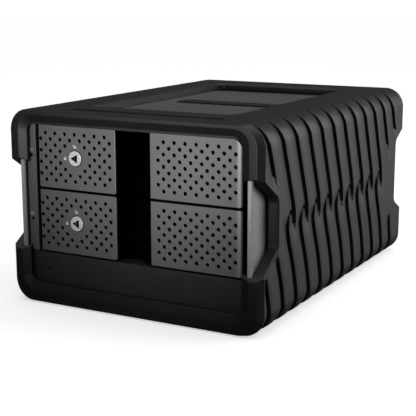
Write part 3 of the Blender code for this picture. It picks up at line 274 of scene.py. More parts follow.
RUBBER = Finish("moulded_rubber", "rubber", (0.0085, 0.0085, 0.0088), 0.10, (0.42, 0.52), 0.0, 0.5, 45,
                1900, 0.00005, 0.25)
HOUSING = Finish("blasted_aluminium", "housing_metal", (0.215, 0.215, 0.22), 0.05, (0.40, 0.52), 0.92, 0.5,
                 30, 5200, 0.00001, 0.25)
MILLED = BrushedFinish("milled_edge", "housing_metal", (0.62, 0.62, 0.63), 0.08, (0.30, 0.44), 0.45, 0.5,
                       80, 3400, 0.00001, 0.25)
PANEL = Finish("graphite_panel", "panel_metal", (0.20, 0.20, 0.203), 0.05, (0.40, 0.52), 0.6, 0.5, 25,
               4200, 0.000012, 0.25)
# Painted shade: a near-black colour with almost no specular stands in for the shade in the pockets behind the
# plates; used on the lever frames, the tray noses and the lock pointers.
BLACK_WITH_PAINTED_SHADE = Finish("matt_black", "black_plastic", (0.004, 0.004, 0.0042), 0.12, (0.72, 0.82), 0.0, 0.06, 70,
                3000, 0.00002, 0.3)
PLASTIC = Finish("moulded_black", "black_plastic", (0.026, 0.026, 0.0265), 0.12, (0.40, 0.52), 0.0, 0.45,
                 70, 3000, 0.00002, 0.3)
GLOSS = Finish("gloss_black", "black_plastic", (0.008, 0.008, 0.0085), 0.1, (0.14, 0.22), 0.0, 0.5, 70,
               2500, 0.000004, 0.1)
CHROME = BrushedFinish("turned_nickel", "bright_steel", (0.84, 0.84, 0.83), 0.04, (0.24, 0.36), 0.8, 0.5,
                       90, 5000, 0.000004, 0.15, Axis.Y)
ENAMEL = Finish("satin_nickel", "bright_steel", (0.86, 0.86, 0.85), 0.03, (0.3, 0.4), 0.25, 0.5, 90, 5000,
                0.000004, 0.15)
STEEL = BrushedFinish("zinc_sheet", "sheet_steel", (0.46, 0.47, 0.48), 0.12, (0.28, 0.46), 1.0, 0.5, 140,
                      2400, 0.000008, 0.2, Axis.Y)
CASTING = Finish("drive_casting", "drive_casting", (0.36, 0.365, 0.375), 0.1, (0.38, 0.56), 0.9, 0.5, 120,
                 2600, 0.00004, 0.35)
COVER = BrushedFinish("drive_cover", "drive_casting", (0.58, 0.59, 0.60), 0.05, (0.22, 0.34), 1.0, 0.5, 60,
                      3800, 0.000005, 0.15, Axis.X)
PAPER = Finish("blank_label", "drive_casting", (0.70, 0.70, 0.68), 0.03, (0.5, 0.6), 0.0, 0.4, 200, 2500,
               0.000006, 0.15)
BOARD = Finish("solder_mask", "circuit_board", (0.010, 0.070, 0.036), 0.3, (0.28, 0.42), 0.0, 0.5, 900,
               3500, 0.00002, 0.3)
CHIP = Finish("chip_epoxy", "circuit_board", (0.018, 0.018, 0.019), 0.15, (0.45, 0.6), 0.0, 0.4, 300, 4000,
              0.00001, 0.3)
GOLD = BrushedFinish("gold_contact", "circuit_board", (0.80, 0.55, 0.22), 0.08, (0.2, 0.3), 1.0, 0.5, 400,
                     4000, 0.000004, 0.15, Axis.Y)
MARK = Finish("white_print", "panel_metal", (0.74, 0.74, 0.73), 0.03, (0.45, 0.55), 0.0, 0.4, 300, 4000,
              0.000004, 0.15)
LENS = LensFinish("smoked_lens", "light_pipe", (0.06, 0.062, 0.066), 0.04, (0.12, 0.2), 0.0, 0.5, 200,
                  3000, 0.000004, 0.1)
FLOOR = FloorFinish("pale_floor", "", (0.86, 0.86, 0.86), 0.005, (0.7, 0.8), 0.0, 0.2, 3, 60, 0.0001, 0.02)
BACKDROP = replace(FLOOR, name="pale_backdrop", glow=1.0)


# ---- mesh work ------------------------------------------------------------------------------------------
def block(low: Iterable[float], high: Iterable[float]) -> Mesh:
    """A box between two corners."""
    first, last = Vector(low), Vector(high)
    made = bmesh.new()
    bmesh.ops.create_cube(made, size=1)
    bmesh.ops.scale(made, vec=last - first, verts=made.verts)
    bmesh.ops.translate(made, vec=(first + last) / 2, verts=made.verts)
    return made


def rod(centre: Iterable[float], radius: float, length: float, axis: Axis, segments: int = 32,
        end_radius: float | None = None) -> Mesh:
    """A cylinder or a cone about its centre.

    Args:
        centre: middle of the axis.
        radius: at the end on the axis's low side.
        length: along the axis.
        axis: direction.
        segments: sides.
        end_radius: at the high side, or None for the same radius.

    Returns:
        The closed shape.
    """
    made = bmesh.new()
    bmesh.ops.create_cone(made, cap_ends=True, segments=segments, radius1=radius,
                          radius2=radius if end_radius is None else end_radius, depth=length)
    bmesh.ops.transform(made, matrix=Matrix.Translation(centre) @ axis.turn(), verts=made.verts)
    return made


def outline_solid(points: list[Point], axis: Axis, low: float, high: float, corner: float = 0.0,
                  steps: int = 4) -> Mesh:
    """A flat outline extruded along an axis, with rounded corners.

    Args:
        points: the outline's corners in the plane across the axis: (y, z), (x, z) or (x, y).
        axis: direction of the extrusion.
        low: where it starts.
        high: where it ends.
        corner: radius of the corners.
        steps: segments of each corner.

    Returns:
        The closed shape.
    """
    made = bmesh.new()
    verts = []
    for first, second in points:
        spot = [first, second]
        spot.insert(axis.value, low)
        verts.append(made.verts.new(spot))
    made.faces.new(verts)
    if corner:
        bmesh.ops.bevel(made, geom=list(made.verts), offset=corner, offset_type="OFFSET", segments=steps,
                        profile=0.5, affect="VERTICES", clamp_overlap=True, material=-1)
    face = max(made.faces, key=lambda one: one.calc_area())
    grown = bmesh.ops.extrude_face_region(made, geom=[face], use_keep_orig=True)
    step = Vector((0, 0, 0))
    step[axis.value] = high - low
    fresh = [one for one in grown["geom"] if isinstance(one, bmesh.types.BMVert)]
    bmesh.ops.translate(made, vec=step, verts=fresh)
    bmesh.ops.recalc_face_normals(made, faces=made.faces)
    return made


def along(bm: Mesh, axis: Axis, test: Callable[[Vector], bool] | None = None) -> list[bmesh.types.BMEdge]:
    """Edges that run along an axis and whose middle passes a test."""
    found = []
    for edge in bm.edges:
        run = edge.verts[1].co - edge.verts[0].co
        middle = (edge.verts[0].co + edge.verts[1].co) / 2
        if abs(run[axis.value]) > 0.999 * run.length and (test is None or test(middle)):
            found.append(edge)
    return found


def sharp(bm: Mesh, angle: float = 40,
          test: Callable[[Vector], bool] | None = None) -> list[bmesh.types.BMEdge]:
    """Edges between faces that meet at more than an angle and whose middle passes a test."""
    limit = math.radians(angle)
    return [edge for edge in bm.edges if len(edge.link_faces) == 2 and edge.calc_face_angle(0) > limit
            and (test is None or test((edge.verts[0].co + edge.verts[1].co) / 2))]


def soften(bm: Mesh, edges: list[bmesh.types.BMEdge], width: float, segments: int = 2) -> Mesh:
    """Rounds edges over by a width."""
    bmesh.ops.bevel(bm, geom=edges, offset=width, offset_type="OFFSET", segments=segments, profile=0.5,
                    affect="EDGES", clamp_overlap=True, material=-1)
    return bm


def soft_block(low: Iterable[float], high: Iterable[float], width: float, segments: int = 2) -> Mesh:
    """A box with every edge rounded."""
    made = block(low, high)
    return soften(made, list(made.edges), width, segments)


def merged(*parts: Mesh) -> Mesh:
    """One mesh that holds all the parts, which are used up."""
    whole = bmesh.new()
    for part in parts:
        carrier = bpy.data.meshes.new("carrier")
        part.to_mesh(carrier)
        part.free()
        whole.from_mesh(carrier)
        bpy.data.meshes.remove(carrier)
    return whole


def moved(bm: Mesh, matrix: Matrix) -> Mesh:
    """The mesh after a transform."""
    bmesh.ops.transform(bm, matrix=matrix, verts=bm.verts)
    return bm


def carved(bm: Mesh, *cutters: Mesh, join: bool = False, solver: str = "MANIFOLD") -> Mesh:
    """The mesh with cutters taken away, or joined on, which are used up."""
    helpers = []
    for shape in (bm, merged(*cutters)):
        mesh = bpy.data.meshes.new("helper")
        shape.to_mesh(mesh)
        shape.free()
        helper = bpy.data.objects.new("helper", mesh)
        bpy.context.scene.collection.objects.link(helper)
        helpers.append(helper)
    modifier = helpers[0].modifiers.new("carve", "BOOLEAN")
    modifier.operation = "UNION" if join else "DIFFERENCE"
    modifier.solver = solver
    modifier.object = helpers[1]
    result = bmesh.new()
    result.from_object(helpers[0], bpy.context.evaluated_depsgraph_get())
    for helper in helpers:
        mesh = helper.data
        bpy.data.objects.remove(helper)
        bpy.data.meshes.remove(mesh)
    return result


def dress(bm: Mesh, index: int, test: Callable[[bmesh.types.BMFace], bool]) -> Mesh:
    """Gives the faces that pass a test the material with this index."""
    for face in bm.faces:
        if test(face):
            face.material_index = index
    return bm


def piece(name: str, bm: Mesh, body: str, finishes: Finish | list[Finish], replaces: Iterable[str] = (),
          crease: float = 35) -> bpy.types.Object:
    """Makes a mesh a piece of the object and reports it.

    Args:
        name: the piece's name.
        bm: its mesh, in place, which is used up.
        body: the body that it rides on.
        finishes: its finish, or several by material index.
        replaces: the frame nodes that it stands for.
        crease: edges sharper than this many degrees stay sharp.

    Returns:
        The new object.
    """
    finishes = finishes if isinstance(finishes, list) else [finishes]
    mesh = bpy.data.meshes.new(name)
    bmesh.ops.recalc_face_normals(bm, faces=bm.faces)
    bm.to_mesh(mesh)
    bm.free()
    mesh.shade_smooth()
    mesh.set_sharp_from_angle(angle=math.radians(crease))
    for finish in finishes:
        mesh.materials.append(finish.material())
    made = bpy.data.objects.new(name, mesh)
    bpy.context.scene.collection.objects.link(made)
    weighted = made.modifiers.new("flat_faces", "WEIGHTED_NORMAL")
    weighted.keep_sharp = True
    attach(made, body)
    if replaces:
        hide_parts(*replaces)
    LOG.info("%s rides on %s with %d faces", name, body, len(mesh.polygons))
    return made


def refined(node: str, frame: dict, width: float = 0.0, angle: float = 60) -> Mesh:
    """A merged copy of a frame node, with its sharp edges rounded over."""
    made = bmesh.new()
    made.from_mesh(frame["nodes"][node].data)
    bmesh.ops.remove_doubles(made, verts=made.verts, dist=1e-6)
    bmesh.ops.dissolve_limit(made, angle_limit=math.radians(1), verts=made.verts, edges=made.edges)
    return soften(made, sharp(made, angle), width) if width else made


# ---- sleeve and tube ------------------------------------------------------------------------------------
@dataclass
class Ring:
    """One rounded rectangular loop round the object, in millimetres."""

    depth: float  # from the end face, inwards
    half: float
    low: float
    high: float
    radius: float

    def spot(self, share: float, side: float) -> tuple[float, float]:
        """Point of the loop.

        Args:
            share: 0 to 5, from the middle of the top, over the shoulder and down the side, to the middle
                underneath.
            side: 1 or -1, right or left.

        Returns:
            x and z.
        """
        part, rest = min(int(share), 4), share - min(int(share), 4)
        turn = rest * math.pi / 2
        flat, top, bottom = self.half - self.radius, self.high - self.radius, self.low + self.radius
        spots = (
            (rest * flat, self.high),
            (flat + self.radius * math.sin(turn), top + self.radius * math.cos(turn)),
            (self.half, top + (bottom - top) * rest),
            (flat + self.radius * math.cos(turn), bottom - self.radius * math.sin(turn)),
            ((1 - rest) * flat, self.low),
        )
        return side * spots[part][0], spots[part][1]

    def toward(self, other: "Ring", share: float) -> "Ring":
        """The loop that lies a share of the way to another."""
        return Ring(*(getattr(self, key) * (1 - share) + getattr(other, key) * share
                      for key in ("depth", "half", "low", "high", "radius")))

    def distance(self, other: "Ring") -> float:
        """How far apart two loops' sides lie."""
        return math.hypot(self.depth - other.depth, self.half - other.half)


def eased(rings: list[Ring], ease: float) -> list[Ring]:
    """The loops with each corner of their profile rounded over by a distance."""
    made = [rings[0]]
    for before, corner, after in zip(rings, rings[1:], rings[2:]):
        start = corner.toward(before, min(0.45, ease / corner.distance(before)))
        end = corner.toward(after, min(0.45, ease / corner.distance(after)))
        middle = start.toward(end, 0.5).toward(corner, 0.5)
        made += [start, middle, end]
    return made + [rings[-1]]


@dataclass
class RubberSleeve:
    """Moulded sleeve with chamfered lips, a top window, side notches and gill-like slanted grooves (mm)."""

    pitch: float = 16.8
    upper_start: float = 13.8  # first upper groove behind the front face, where the lean is zero
    lower_start: float = 22.1
    radius: float = 12.0
    groove_half: float = 1.05
    groove_depth: float = 2.8
    crest_drop: float = 0.35  # rib's surface at the groove in front of it
    slope_drop: float = 1.5  # rib's surface at the groove behind it
    slope_reach: float = 7.5
    lip_depth: float = 3.3

    def __post_init__(self) -> None:
        low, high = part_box("rubber_sleeve")
        self.front, self.length = low.y / MM, (high.y - low.y) / MM
        self.half, self.top = high.x / MM, high.z / MM
        self.outer = Ring(self.lip_depth, self.half, 0, self.top, self.radius)
        self.flat = self.half - self.radius
        self.arc_length = math.pi / 2 * self.radius
        self.side_end = self.arc_length + self.top - 2 * self.radius
        grid = np.arange(-12, 140, 0.5)
        lean = np.interp(grid, [0, 3.4, 18.85, 30.95, 53.55, 57.55, 60.55, 65.55, 72.55, 79.05, 88.55, 96.55,
                                102.55, 108], [-10, -9, -4.8, 0, 8.8, 9.5, 9.8, 9.85, 12.0, 14.8, 18.4, 20.8,
                                               22.1, 22.8])
        self.lean_table = (grid[4:-4], np.convolve(lean, np.ones(9) / 9, "valid"))

    def lean(self, down: np.ndarray) -> np.ndarray:
        """How far a groove has moved rearwards at a distance down the side."""
        return np.interp(down, *self.lean_table)

    def columns(self) -> np.ndarray:
        """Places of the mesh lines along the length, closer at the grooves."""
        near = [-1.9, -1.3, -1.0, -0.65, 0.0, 0.65, 1.0, 1.3, 1.9]
        second = self.lower_start - self.upper_start
        hook = [-0.33, 0.33, 1.6, 2.2, 2.5, 2.8, 3.2, 3.7, 4.3, 4.9, 5.5, 6.05]
        steps = sorted(near + [3.0, 4.15, 5.3] + [second + step for step in near + hook])
        first = self.upper_start - 3 * self.pitch
        return np.array([first + self.pitch * turn + step for turn in range(16) for step in steps])

    def rows(self) -> np.ndarray:
        """Places of the mesh lines down the half section, from the middle of the top to that of the bottom."""
        spans = ((-self.flat, -6, 4), (-6, 0, 3), (0, self.arc_length, 16), (self.arc_length, 53, 12),
                 (53, 66, 38), (66, self.side_end, 14), (self.side_end, self.side_end + self.arc_length, 12),
                 (self.side_end + self.arc_length, self.side_end + self.arc_length + self.flat, 4))
        return np.concatenate([np.linspace(low, high, count, endpoint=False) for low, high, count in spans]
                              + [[spans[-1][1]]])

    def section(self, down: np.ndarray, raised: np.ndarray) -> tuple[np.ndarray, np.ndarray]:
        """Points of the right half section.

        Args:
            down: distance round the section from the shoulder's upper end.
            raised: height over the plain surface.

        Returns:
            x and z.
        """
        corner = np.clip(down, 0, self.arc_length) / self.radius
        lower = np.clip(down - self.side_end, 0, self.arc_length) / self.radius
        reach = self.radius + raised
        angle = corner + lower
        x = self.flat + np.minimum(down, 0) - np.maximum(down - self.side_end - self.arc_length, 0)
        z = np.where(down < (self.arc_length + self.side_end) / 2, self.top - self.radius, self.radius)
        z = np.where((down > self.arc_length) & (down < self.side_end), self.top - self.radius
                     - (down - self.arc_length), z)
        return x + reach * np.sin(angle), z + reach * np.cos(angle)

    def relief(self, place: np.ndarray, down: np.ndarray) -> np.ndarray:
        """Height of the moulded side over the plain surface.

        Args:
            place: distance behind the front face, less the lean.
            down: distance round the section.

        Returns:
            Heights, zero or less.
        """
        deepest = np.zeros_like(place)
        crest = np.zeros_like(place)
        slope = np.zeros_like(place)
        for start, family in ((self.upper_start, self.upper), (self.lower_start, self.lower)):
            for offset in (-1, 0, 1, 2):
                index = np.floor((place - start) / self.pitch) + offset
                across = place - start - index * self.pitch
                distance, depth, width, presence = family(index, across, down)
                wall = smooth((distance - width + 0.4) / 0.75)
                deepest = np.maximum(deepest, depth * (1 - wall))
                behind = np.where(across >= 0, 1 - smooth((across - width) / 2.6), 0)
                ahead = np.where(across < 0, np.clip(1 - (-across - width) / self.slope_reach, 0, 1) ** 1.6, 0)
                crest = np.maximum(crest, presence * behind)
                slope = np.maximum(slope, presence * ahead)
        return -np.maximum(deepest, self.crest_drop * crest + self.slope_drop * slope)

    def upper(self, index: np.ndarray, across: np.ndarray, down: np.ndarray) -> tuple[np.ndarray, ...]:
        """Upper grooves: hair-thin on the shoulder, widening downwards, with round lower ends.

        Args:
            index: number of the groove, from the front.
            across: distance behind its centre line.
            down: distance round the section.

        Returns:
            Distance to the groove, its depth, its half width and its presence from 0 to 1.
        """
        end = np.select([index == 0, index == 10, index == 11], [35.5, 41.0, 33.0], 63.6)
        there = (index >= 0) & (index <= 11)
        width = np.interp(down, [1.5, 4, 12, 22], [0.05, 0.4, 0.75, self.groove_half])
        past = np.maximum(0, down - (end - width))
        depth = np.where(there, np.interp(down, [1.0, 4, 10, 19], [0, 1.3, 2.4, self.groove_depth]), 0)
        presence = there * smooth((down - 1) / 14) * smooth((end + 8 - down) / 12)
        return np.hypot(across, past), depth, width, presence

    def lower(self, index: np.ndarray, across: np.ndarray, down: np.ndarray) -> tuple[np.ndarray, ...]:
        """Lower grooves: each hooks rearwards over a rounded finger, and runs round the bottom corner.

        Args:
            index: number of the groove, from the front.
            across: distance behind its centre line.
            down: distance round the section.

        Returns:
            Distance to the groove, its depth, its half width and its presence from 0 to 1.
        """
        start = np.select([index == -2, index == -1, index == 9], [86.5, 78.0, 89.5], 60.4)
        there = (index >= -2) & (index <= 9)
        width = np.full_like(down, self.groove_half)
        straight = np.hypot(across, np.maximum(0, start + width - down))
        hooked = straight
        path = [(0, 62), (0.1, 60), (0.6, 58.3), (1.6, 57.0), (3.0, 56.2), (4.6, 56.1), (6.0, 56.8),
                (7.2, 58.2), (8.2, 60.2)]
        for (x0, y0), (x1, y1) in zip(path, path[1:]):
            run = (x1 - x0) ** 2 + (y1 - y0) ** 2
            share = np.clip(((across - x0) * (x1 - x0) + (down - y0) * (y1 - y0)) / run, 0, 1)
            aside, along_it = across - x0 - share * (x1 - x0), down - y0 - share * (y1 - y0)
            hooked = np.minimum(hooked, np.hypot(aside, along_it))
        whole = (index >= 0) & (index <= 8)
        distance = np.where(whole, hooked, straight)
        under = self.side_end + self.arc_length
        depth = np.where(there, np.interp(down, [under - 4, under + 1], [self.groove_depth, 0]), 0)
        presence = there * smooth((down - start + 4) / 8) * smooth((under - down) / 8)
        return distance, depth, width, presence

    def side_shell(self) -> Mesh:
        """The moulded outer surface, both halves, cut square at the lips."""
        columns, rows = self.columns(), self.rows()
        made = bmesh.new()
        bmesh.ops.create_grid(made, x_segments=len(columns) - 1, y_segments=len(rows) - 1, size=1)
        grid = np.array([vert.co[:2] for vert in made.verts])
        spots = np.rint((grid + 1) / 2 * (len(columns) - 1, len(rows) - 1)).astype(int)
        place, down = columns[spots[:, 0]], rows[spots[:, 1]]
        raised = self.relief(place, down)
        behind = place + self.lean(down)
        ends = smooth((behind - self.lip_depth) / 3) * smooth((self.length - self.lip_depth - behind) / 3)
        raised = raised * ends
        x, z = self.section(down, raised)
        for vert, spot in zip(made.verts, zip(x, self.front + behind, z)):
            vert.co = spot
        bmesh.ops.mirror(made, geom=made.verts[:] + made.edges[:] + made.faces[:], axis="X", merge_dist=0.0005)
        for face, inward in ((self.front, 1), (self.front + self.length, -1)):
            bmesh.ops.bisect_plane(made, geom=made.verts[:] + made.edges[:] + made.faces[:], dist=1e-5,
                                   plane_co=(0, face + inward * self.lip_depth, 0), plane_no=(0, -inward, 0),
                                   clear_outer=True)
        return made

    def share(self, spot: Vector) -> tuple[float, float]:
        """Where a point of the outer section lies, as Ring.spot takes it."""
        side = 1 if spot.x >= 0 else -1
        x, z = abs(spot.x), spot.z
        top, bottom = self.top - self.radius, self.radius
        if x > self.flat and z > top:
            return 1 + math.atan2(x - self.flat, z - top) / (math.pi / 2), side
        if x > self.flat and z < bottom:
            return 3 + math.atan2(bottom - z, x - self.flat) / (math.pi / 2), side
        if x > self.flat:
            return 2 + (top - z) / (top - bottom), side
        return (x / self.flat, side) if z > top else (5 - x / self.flat, side)

    def lip_rings(self) -> list[Ring]:
        """Profile of the lip, from the outer surface over the mouth into the tube's space."""
        outside = Ring(0, self.half - 3, 0.7, self.top - 0.7, self.radius - 0.7)
        band = Ring(0, 70.9, 7.1, 106.1, 8.5)
        mouth = Ring(2.0, 66.2, 11.2, 102.0, 5.5)
        hook = Ring(3.5, 66.2, 11.2, 102.0, 5.5)
        return eased([self.outer, outside, band, mouth, hook], 0.45)[1:]

    def lip(self, bm: Mesh, face: float, inward: float) -> None:
        """Grows the lip at one end, and goes on to the outside of the tube.

        Args:
            bm: the open shell.
            face: y of the end face.
            inward: 1 at the front, -1 at the rear.
        """
        start = face + inward * self.lip_depth
        rim = [edge for edge in bm.edges if edge.is_boundary
               and max(abs(vert.co.y - start) for vert in edge.verts) < 0.01]
        share = {vert: self.share(vert.co) for edge in rim for vert in edge.verts}
        space = [Ring(3.5, 68.65, 7.9, 100.8, 5.0), Ring(2.0, 68.65, 7.9, 100.8, 5.0),
                 Ring(2.0, 72.25, 4.3, 104.4, 8.3)]
        for number, ring in enumerate(self.lip_rings() + space):
            grown = bmesh.ops.extrude_edge_only(bm, edges=rim)["geom"]
            rim = [one for one in grown if isinstance(one, bmesh.types.BMEdge) and one.is_boundary]
            fresh = [one for one in grown if isinstance(one, bmesh.types.BMVert)]
            sources = {vert: next(edge.other_vert(vert) for edge in vert.link_edges
                                  if edge.other_vert(vert) in share) for vert in fresh}
            share.update({vert: share[source] for vert, source in sources.items()})
            for vert in fresh:
                part, side = share[vert]
                part = round(part * 12) / 12 if ring is space[-1] else part
                x, z = ring.spot(part, side)
                vert.co = (x, face + inward * ring.depth, z)
            share = {vert: share[vert] for vert in fresh}
        bmesh.ops.remove_doubles(bm, verts=list(share), dist=0.0005)

    def window(self) -> Mesh:
        """Cutter of the top window, flared where it leaves the rubber."""
        low, high = self.front + 31.8, self.front + self.length - 27.9
        points = [(-45.9, low), (45.9, low), (45.9, high), (-45.9, high)]
        return flared(outline_solid(points, Axis.Z, self.top - 6, self.top - 0.8, 6, 8), Axis.Z, 1, 0.7, 0.8)

    def notch(self, face: float, inward: float, side: float, sizes: tuple[float, float, float, float]) -> Mesh:
        """Cutter of a six-sided notch in one side wall.

        Args:
            face: y of the end face.
            inward: 1 at the front, -1 at the rear.
            side: 1 or -1, right or left.
            sizes: depth, drop of its top, height of its mouth and rise of its slanted ends.

        Returns:
            The cutter, flared at the outside.
        """
        depth, drop, mouth, slope = sizes
        top = self.top - drop
        lead = slope * 6 / depth
        points = [(face - inward * 6, top + lead), (face + inward * depth, top - slope),
                  (face + inward * depth, top - mouth + slope), (face - inward * 6, top - mouth - lead)]
        inner, outer = sorted((side * 58, side * (self.half - 0.9)))
        return flared(outline_solid(points, Axis.X, inner, outer, 3, 6), Axis.X, side, 0.8, 0.9)

    def top_groove(self, face: float, inward: float, inset: float) -> Mesh:
        """Cutter of a shallow groove across the top, with slanted ends."""
        near, far = face + inward * inset, face + inward * (inset + 6.2)
        points = [(-51.4, near), (51.4, near), (46.4, far), (-46.4, far)]
        bar = outline_solid(points, Axis.Z, self.top - 2.5, self.top - 0.5, 0.8, 3)
        return flared(bar, Axis.Z, 1, 0.4, 0.5)

    def build(self) -> None:
        """Makes the sleeve and puts it in the scene."""
        made = self.side_shell()
        rear = self.front + self.length
        self.lip(made, self.front, 1)
        self.lip(made, rear, -1)
        bmesh.ops.bridge_loops(made, edges=[edge for edge in made.edges if edge.is_boundary])
        bmesh.ops.recalc_face_normals(made, faces=made.faces)
        front_notch, rear_notch = (19.0, 26.7, 52.0, 12.4), (14.7, 25.2, 55.0, 8.1)
        cutters = [self.window(), self.top_groove(self.front, 1, 12.4), self.top_groove(rear, -1, 4.5)]
        cutters += [self.notch(self.front, 1, side, front_notch) for side in (-1, 1)]
        cutters += [self.notch(rear, -1, side, rear_notch) for side in (-1, 1)]
        made = carved(made, *cutters)
        bmesh.ops.scale(made, vec=(MM, MM, MM), verts=made.verts)
        piece("moulded_sleeve", made, "enclosure", RUBBER, ["rubber_sleeve"], 32)


def smooth(share: np.ndarray) -> np.ndarray:
    """Smooth step of a share, clipped to 0 and 1."""
    clipped = np.clip(share, 0, 1)
    return clipped * clipped * (3 - 2 * clipped)


def flared(bm: Mesh, axis: Axis, side: float, out: float, rise: float) -> Mesh:
    """A cutter whose end flares outwards and then runs on.

    Args:
        bm: a straight cutter.
        axis: its direction.
        side: 1 to flare the high end, -1 the low end.
        out: how far the outline grows on every side.
        rise: how far along it does.

    Returns:
        The same cutter, longer by four rises.
    """
    cap = max(bm.faces, key=lambda face: side * face.normal[axis.value] * face.calc_area())
    for _ in range(4):
        middle = cap.calc_center_median_weighted()
        size = [max(v.co[k] for v in cap.verts) - min(v.co[k] for v in cap.verts) for k in range(3)]
        grown = bmesh.ops.extrude_discrete_faces(bm, faces=[cap])["faces"][0]
        factor = Vector([1 if k == axis.value else 1 + 2 * out / size[k] for k in range(3)])
        step = Vector((0, 0, 0))
        step[axis.value] = side * rise
        bmesh.ops.scale(bm, vec=factor, verts=grown.verts, space=Matrix.Translation(-middle))
        bmesh.ops.translate(bm, vec=step, verts=grown.verts)
        cap = grown
    bmesh.ops.recalc_face_normals(bm, faces=bm.faces)
    return bm


@dataclass
class MetalHousing:
    """Extruded tube under the sleeve, with milled ends, and the dark plaque on its top."""

    wall: float = 0.003
    corner: float = 0.008
    edge: float = 0.0006

    def build(self) -> None:
        """Makes the tube and the plaque."""
        low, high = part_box("metal_housing")
        made = bmesh.new()
        corners = [(low.x, low.y, low.z), (high.x, low.y, low.z), (high.x, low.y, high.z),
                   (low.x, low.y, high.z)]
        face = made.faces.new([made.verts.new(spot) for spot in corners])
        bmesh.ops.bevel(made, geom=list(made.verts), offset=self.corner, offset_type="OFFSET", segments=12,
                        profile=0.5, affect="VERTICES", material=-1)
        face = max(made.faces, key=lambda one: one.calc_area())
        wall = bmesh.ops.inset_region(made, faces=[face], thickness=self.wall, use_even_offset=True,
                                      use_boundary=True)["faces"]
        bmesh.ops.delete(made, geom=list(set(made.faces) - set(wall)), context="FACES")
        grown = bmesh.ops.extrude_face_region(made, geom=list(made.faces), use_keep_orig=True)["geom"]
        bmesh.ops.translate(made, vec=(0, high.y - low.y, 0),
                            verts=[one for one in grown if isinstance(one, bmesh.types.BMVert)])
        bmesh.ops.recalc_face_normals(made, faces=made.faces)
        soften(made, sharp(made, 60), self.edge, 1)
        dress(made, 1, lambda one: one.normal.y < -0.4 or one.normal.y > 0.4)
        piece("extruded_tube", made, "enclosure", [HOUSING, MILLED], ["metal_housing"], 30)
        low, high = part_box("label_strip")
        piece("top_plaque", soft_block(low, high, 0.00012), "enclosure", GLOSS, ["label_strip"])


# ---- front ----------------------------------------------------------------------------------------------
@dataclass
class PerforatedPlate:
    """One perforated plate of a tray's face."""

    node: str
    body: str
    first_hole: float
    top_right: float = 0.0012  # radius of the upper right corner
    rolled: bool = False  # whether the right edge curls back
    lock: Point | None = None
    pitch: float = 0.00645
    hole: float = 0.00107
    keep_out: float = 0.0075
    corner: float = 0.0012
    roll: float = 0.0035
    roll_depth: float = 0.001

    def holes(self, low: Vector, high: Vector) -> list[Point]:
        """Places of the holes, on a square grid turned by 45 degrees."""
        step = self.pitch / 2
        margin = self.hole + 0.0002
        count = int((high.z - low.z - 2 * (margin + 0.002)) / step)
        count -= count % 2
        top = (low.z + high.z) / 2 + count / 2 * step
        corner = Vector((high.x - self.top_right, high.z - self.top_right))
        found = []
        for row in range(count + 1):
            z = top - row * step
            x = low.x + self.first_hole + (0 if row % 2 else step)
            while x < high.x - margin - 0.0015:
                spot = Vector((x, z))
                clear = self.lock is None or (spot - Vector(self.lock)).length > self.keep_out
                cut_off = x > corner.x and z > corner.y and (spot - corner).length > self.top_right - margin
                if clear and x > low.x + margin and not cut_off:
                    found.append((x, z))
                x += self.pitch
        return found

    def hole_cutter(self, y: float, depth: float) -> bpy.types.Mesh:
        """Mesh of one hole's cutter at x and z zero, flared at the front."""
        made = rod((0, y + 0.0001 + depth / 2, 0), self.hole, depth, Axis.Y, 16)
        cap = min(made.faces, key=lambda face: face.normal.y * face.calc_area())
        for step, factor in ((0.00012, 1.14), (0.001, 1.0)):
            cap = bmesh.ops.extrude_discrete_faces(made, faces=[cap])["faces"][0]
            bmesh.ops.scale(made, vec=(factor, 1, factor), verts=cap.verts)
            bmesh.ops.translate(made, vec=(0, -step, 0), verts=cap.verts)
        bmesh.ops.recalc_face_normals(made, faces=made.faces)
        carrier = bpy.data.meshes.new("hole_cutter")
        made.to_mesh(carrier)
        made.free()
        return carrier

    def build(self) -> None:
        """Makes the plate."""
        low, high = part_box(self.node)
        points = [(low.x, low.z), (high.x, low.z), (high.x, high.z), (low.x, high.z)]
        made = outline_solid(points, Axis.Y, low.y, high.y)
        for is_top in (False, True):
            corner = along(made, Axis.Y, lambda spot, top=is_top: spot.x > high.x - 0.0001
                           and (spot.z > (low.z + high.z) / 2) is top)
            soften(made, corner, self.top_right if is_top else self.corner, 8 if is_top else 4)
        front = [edge for edge in made.edges if all(abs(vert.co.y - low.y) < 1e-6 for vert in edge.verts)]
        soften(made, front, 0.0003, 2)
        if self.rolled:
            for share in (0.0, 0.15, 0.3, 0.45, 0.6, 0.72, 0.82, 0.9, 0.96):
                bmesh.ops.bisect_plane(made, geom=made.verts[:] + made.edges[:] + made.faces[:], dist=1e-7,
                                       plane_co=(high.x - self.roll * (1 - share), 0, 0), plane_no=(1, 0, 0))
            for vert in made.verts:
                share = min(1, max(0, (vert.co.x - high.x + self.roll) / self.roll))
                vert.co.y += self.roll_depth * (1 - math.sqrt(1 - share * share))
        cutter = self.hole_cutter(low.y, high.y - low.y + 0.001)
        every = bmesh.new()
        for x, z in self.holes(low, high):
            count = len(every.verts)
            every.from_mesh(cutter)
            every.verts.ensure_lookup_table()
            bmesh.ops.translate(every, vec=(x, 0, z), verts=every.verts[count:])
        bpy.data.meshes.remove(cutter)
        cutters = [every]
        if self.lock:
            spot = (self.lock[0], low.y, self.lock[1])
            cutters.append(rod(spot, 0.0046, 0.01, Axis.Y, 48))
        piece(self.node.replace("grille", "plate"), carved(made, *cutters), self.body, PANEL, [self.node], 40)


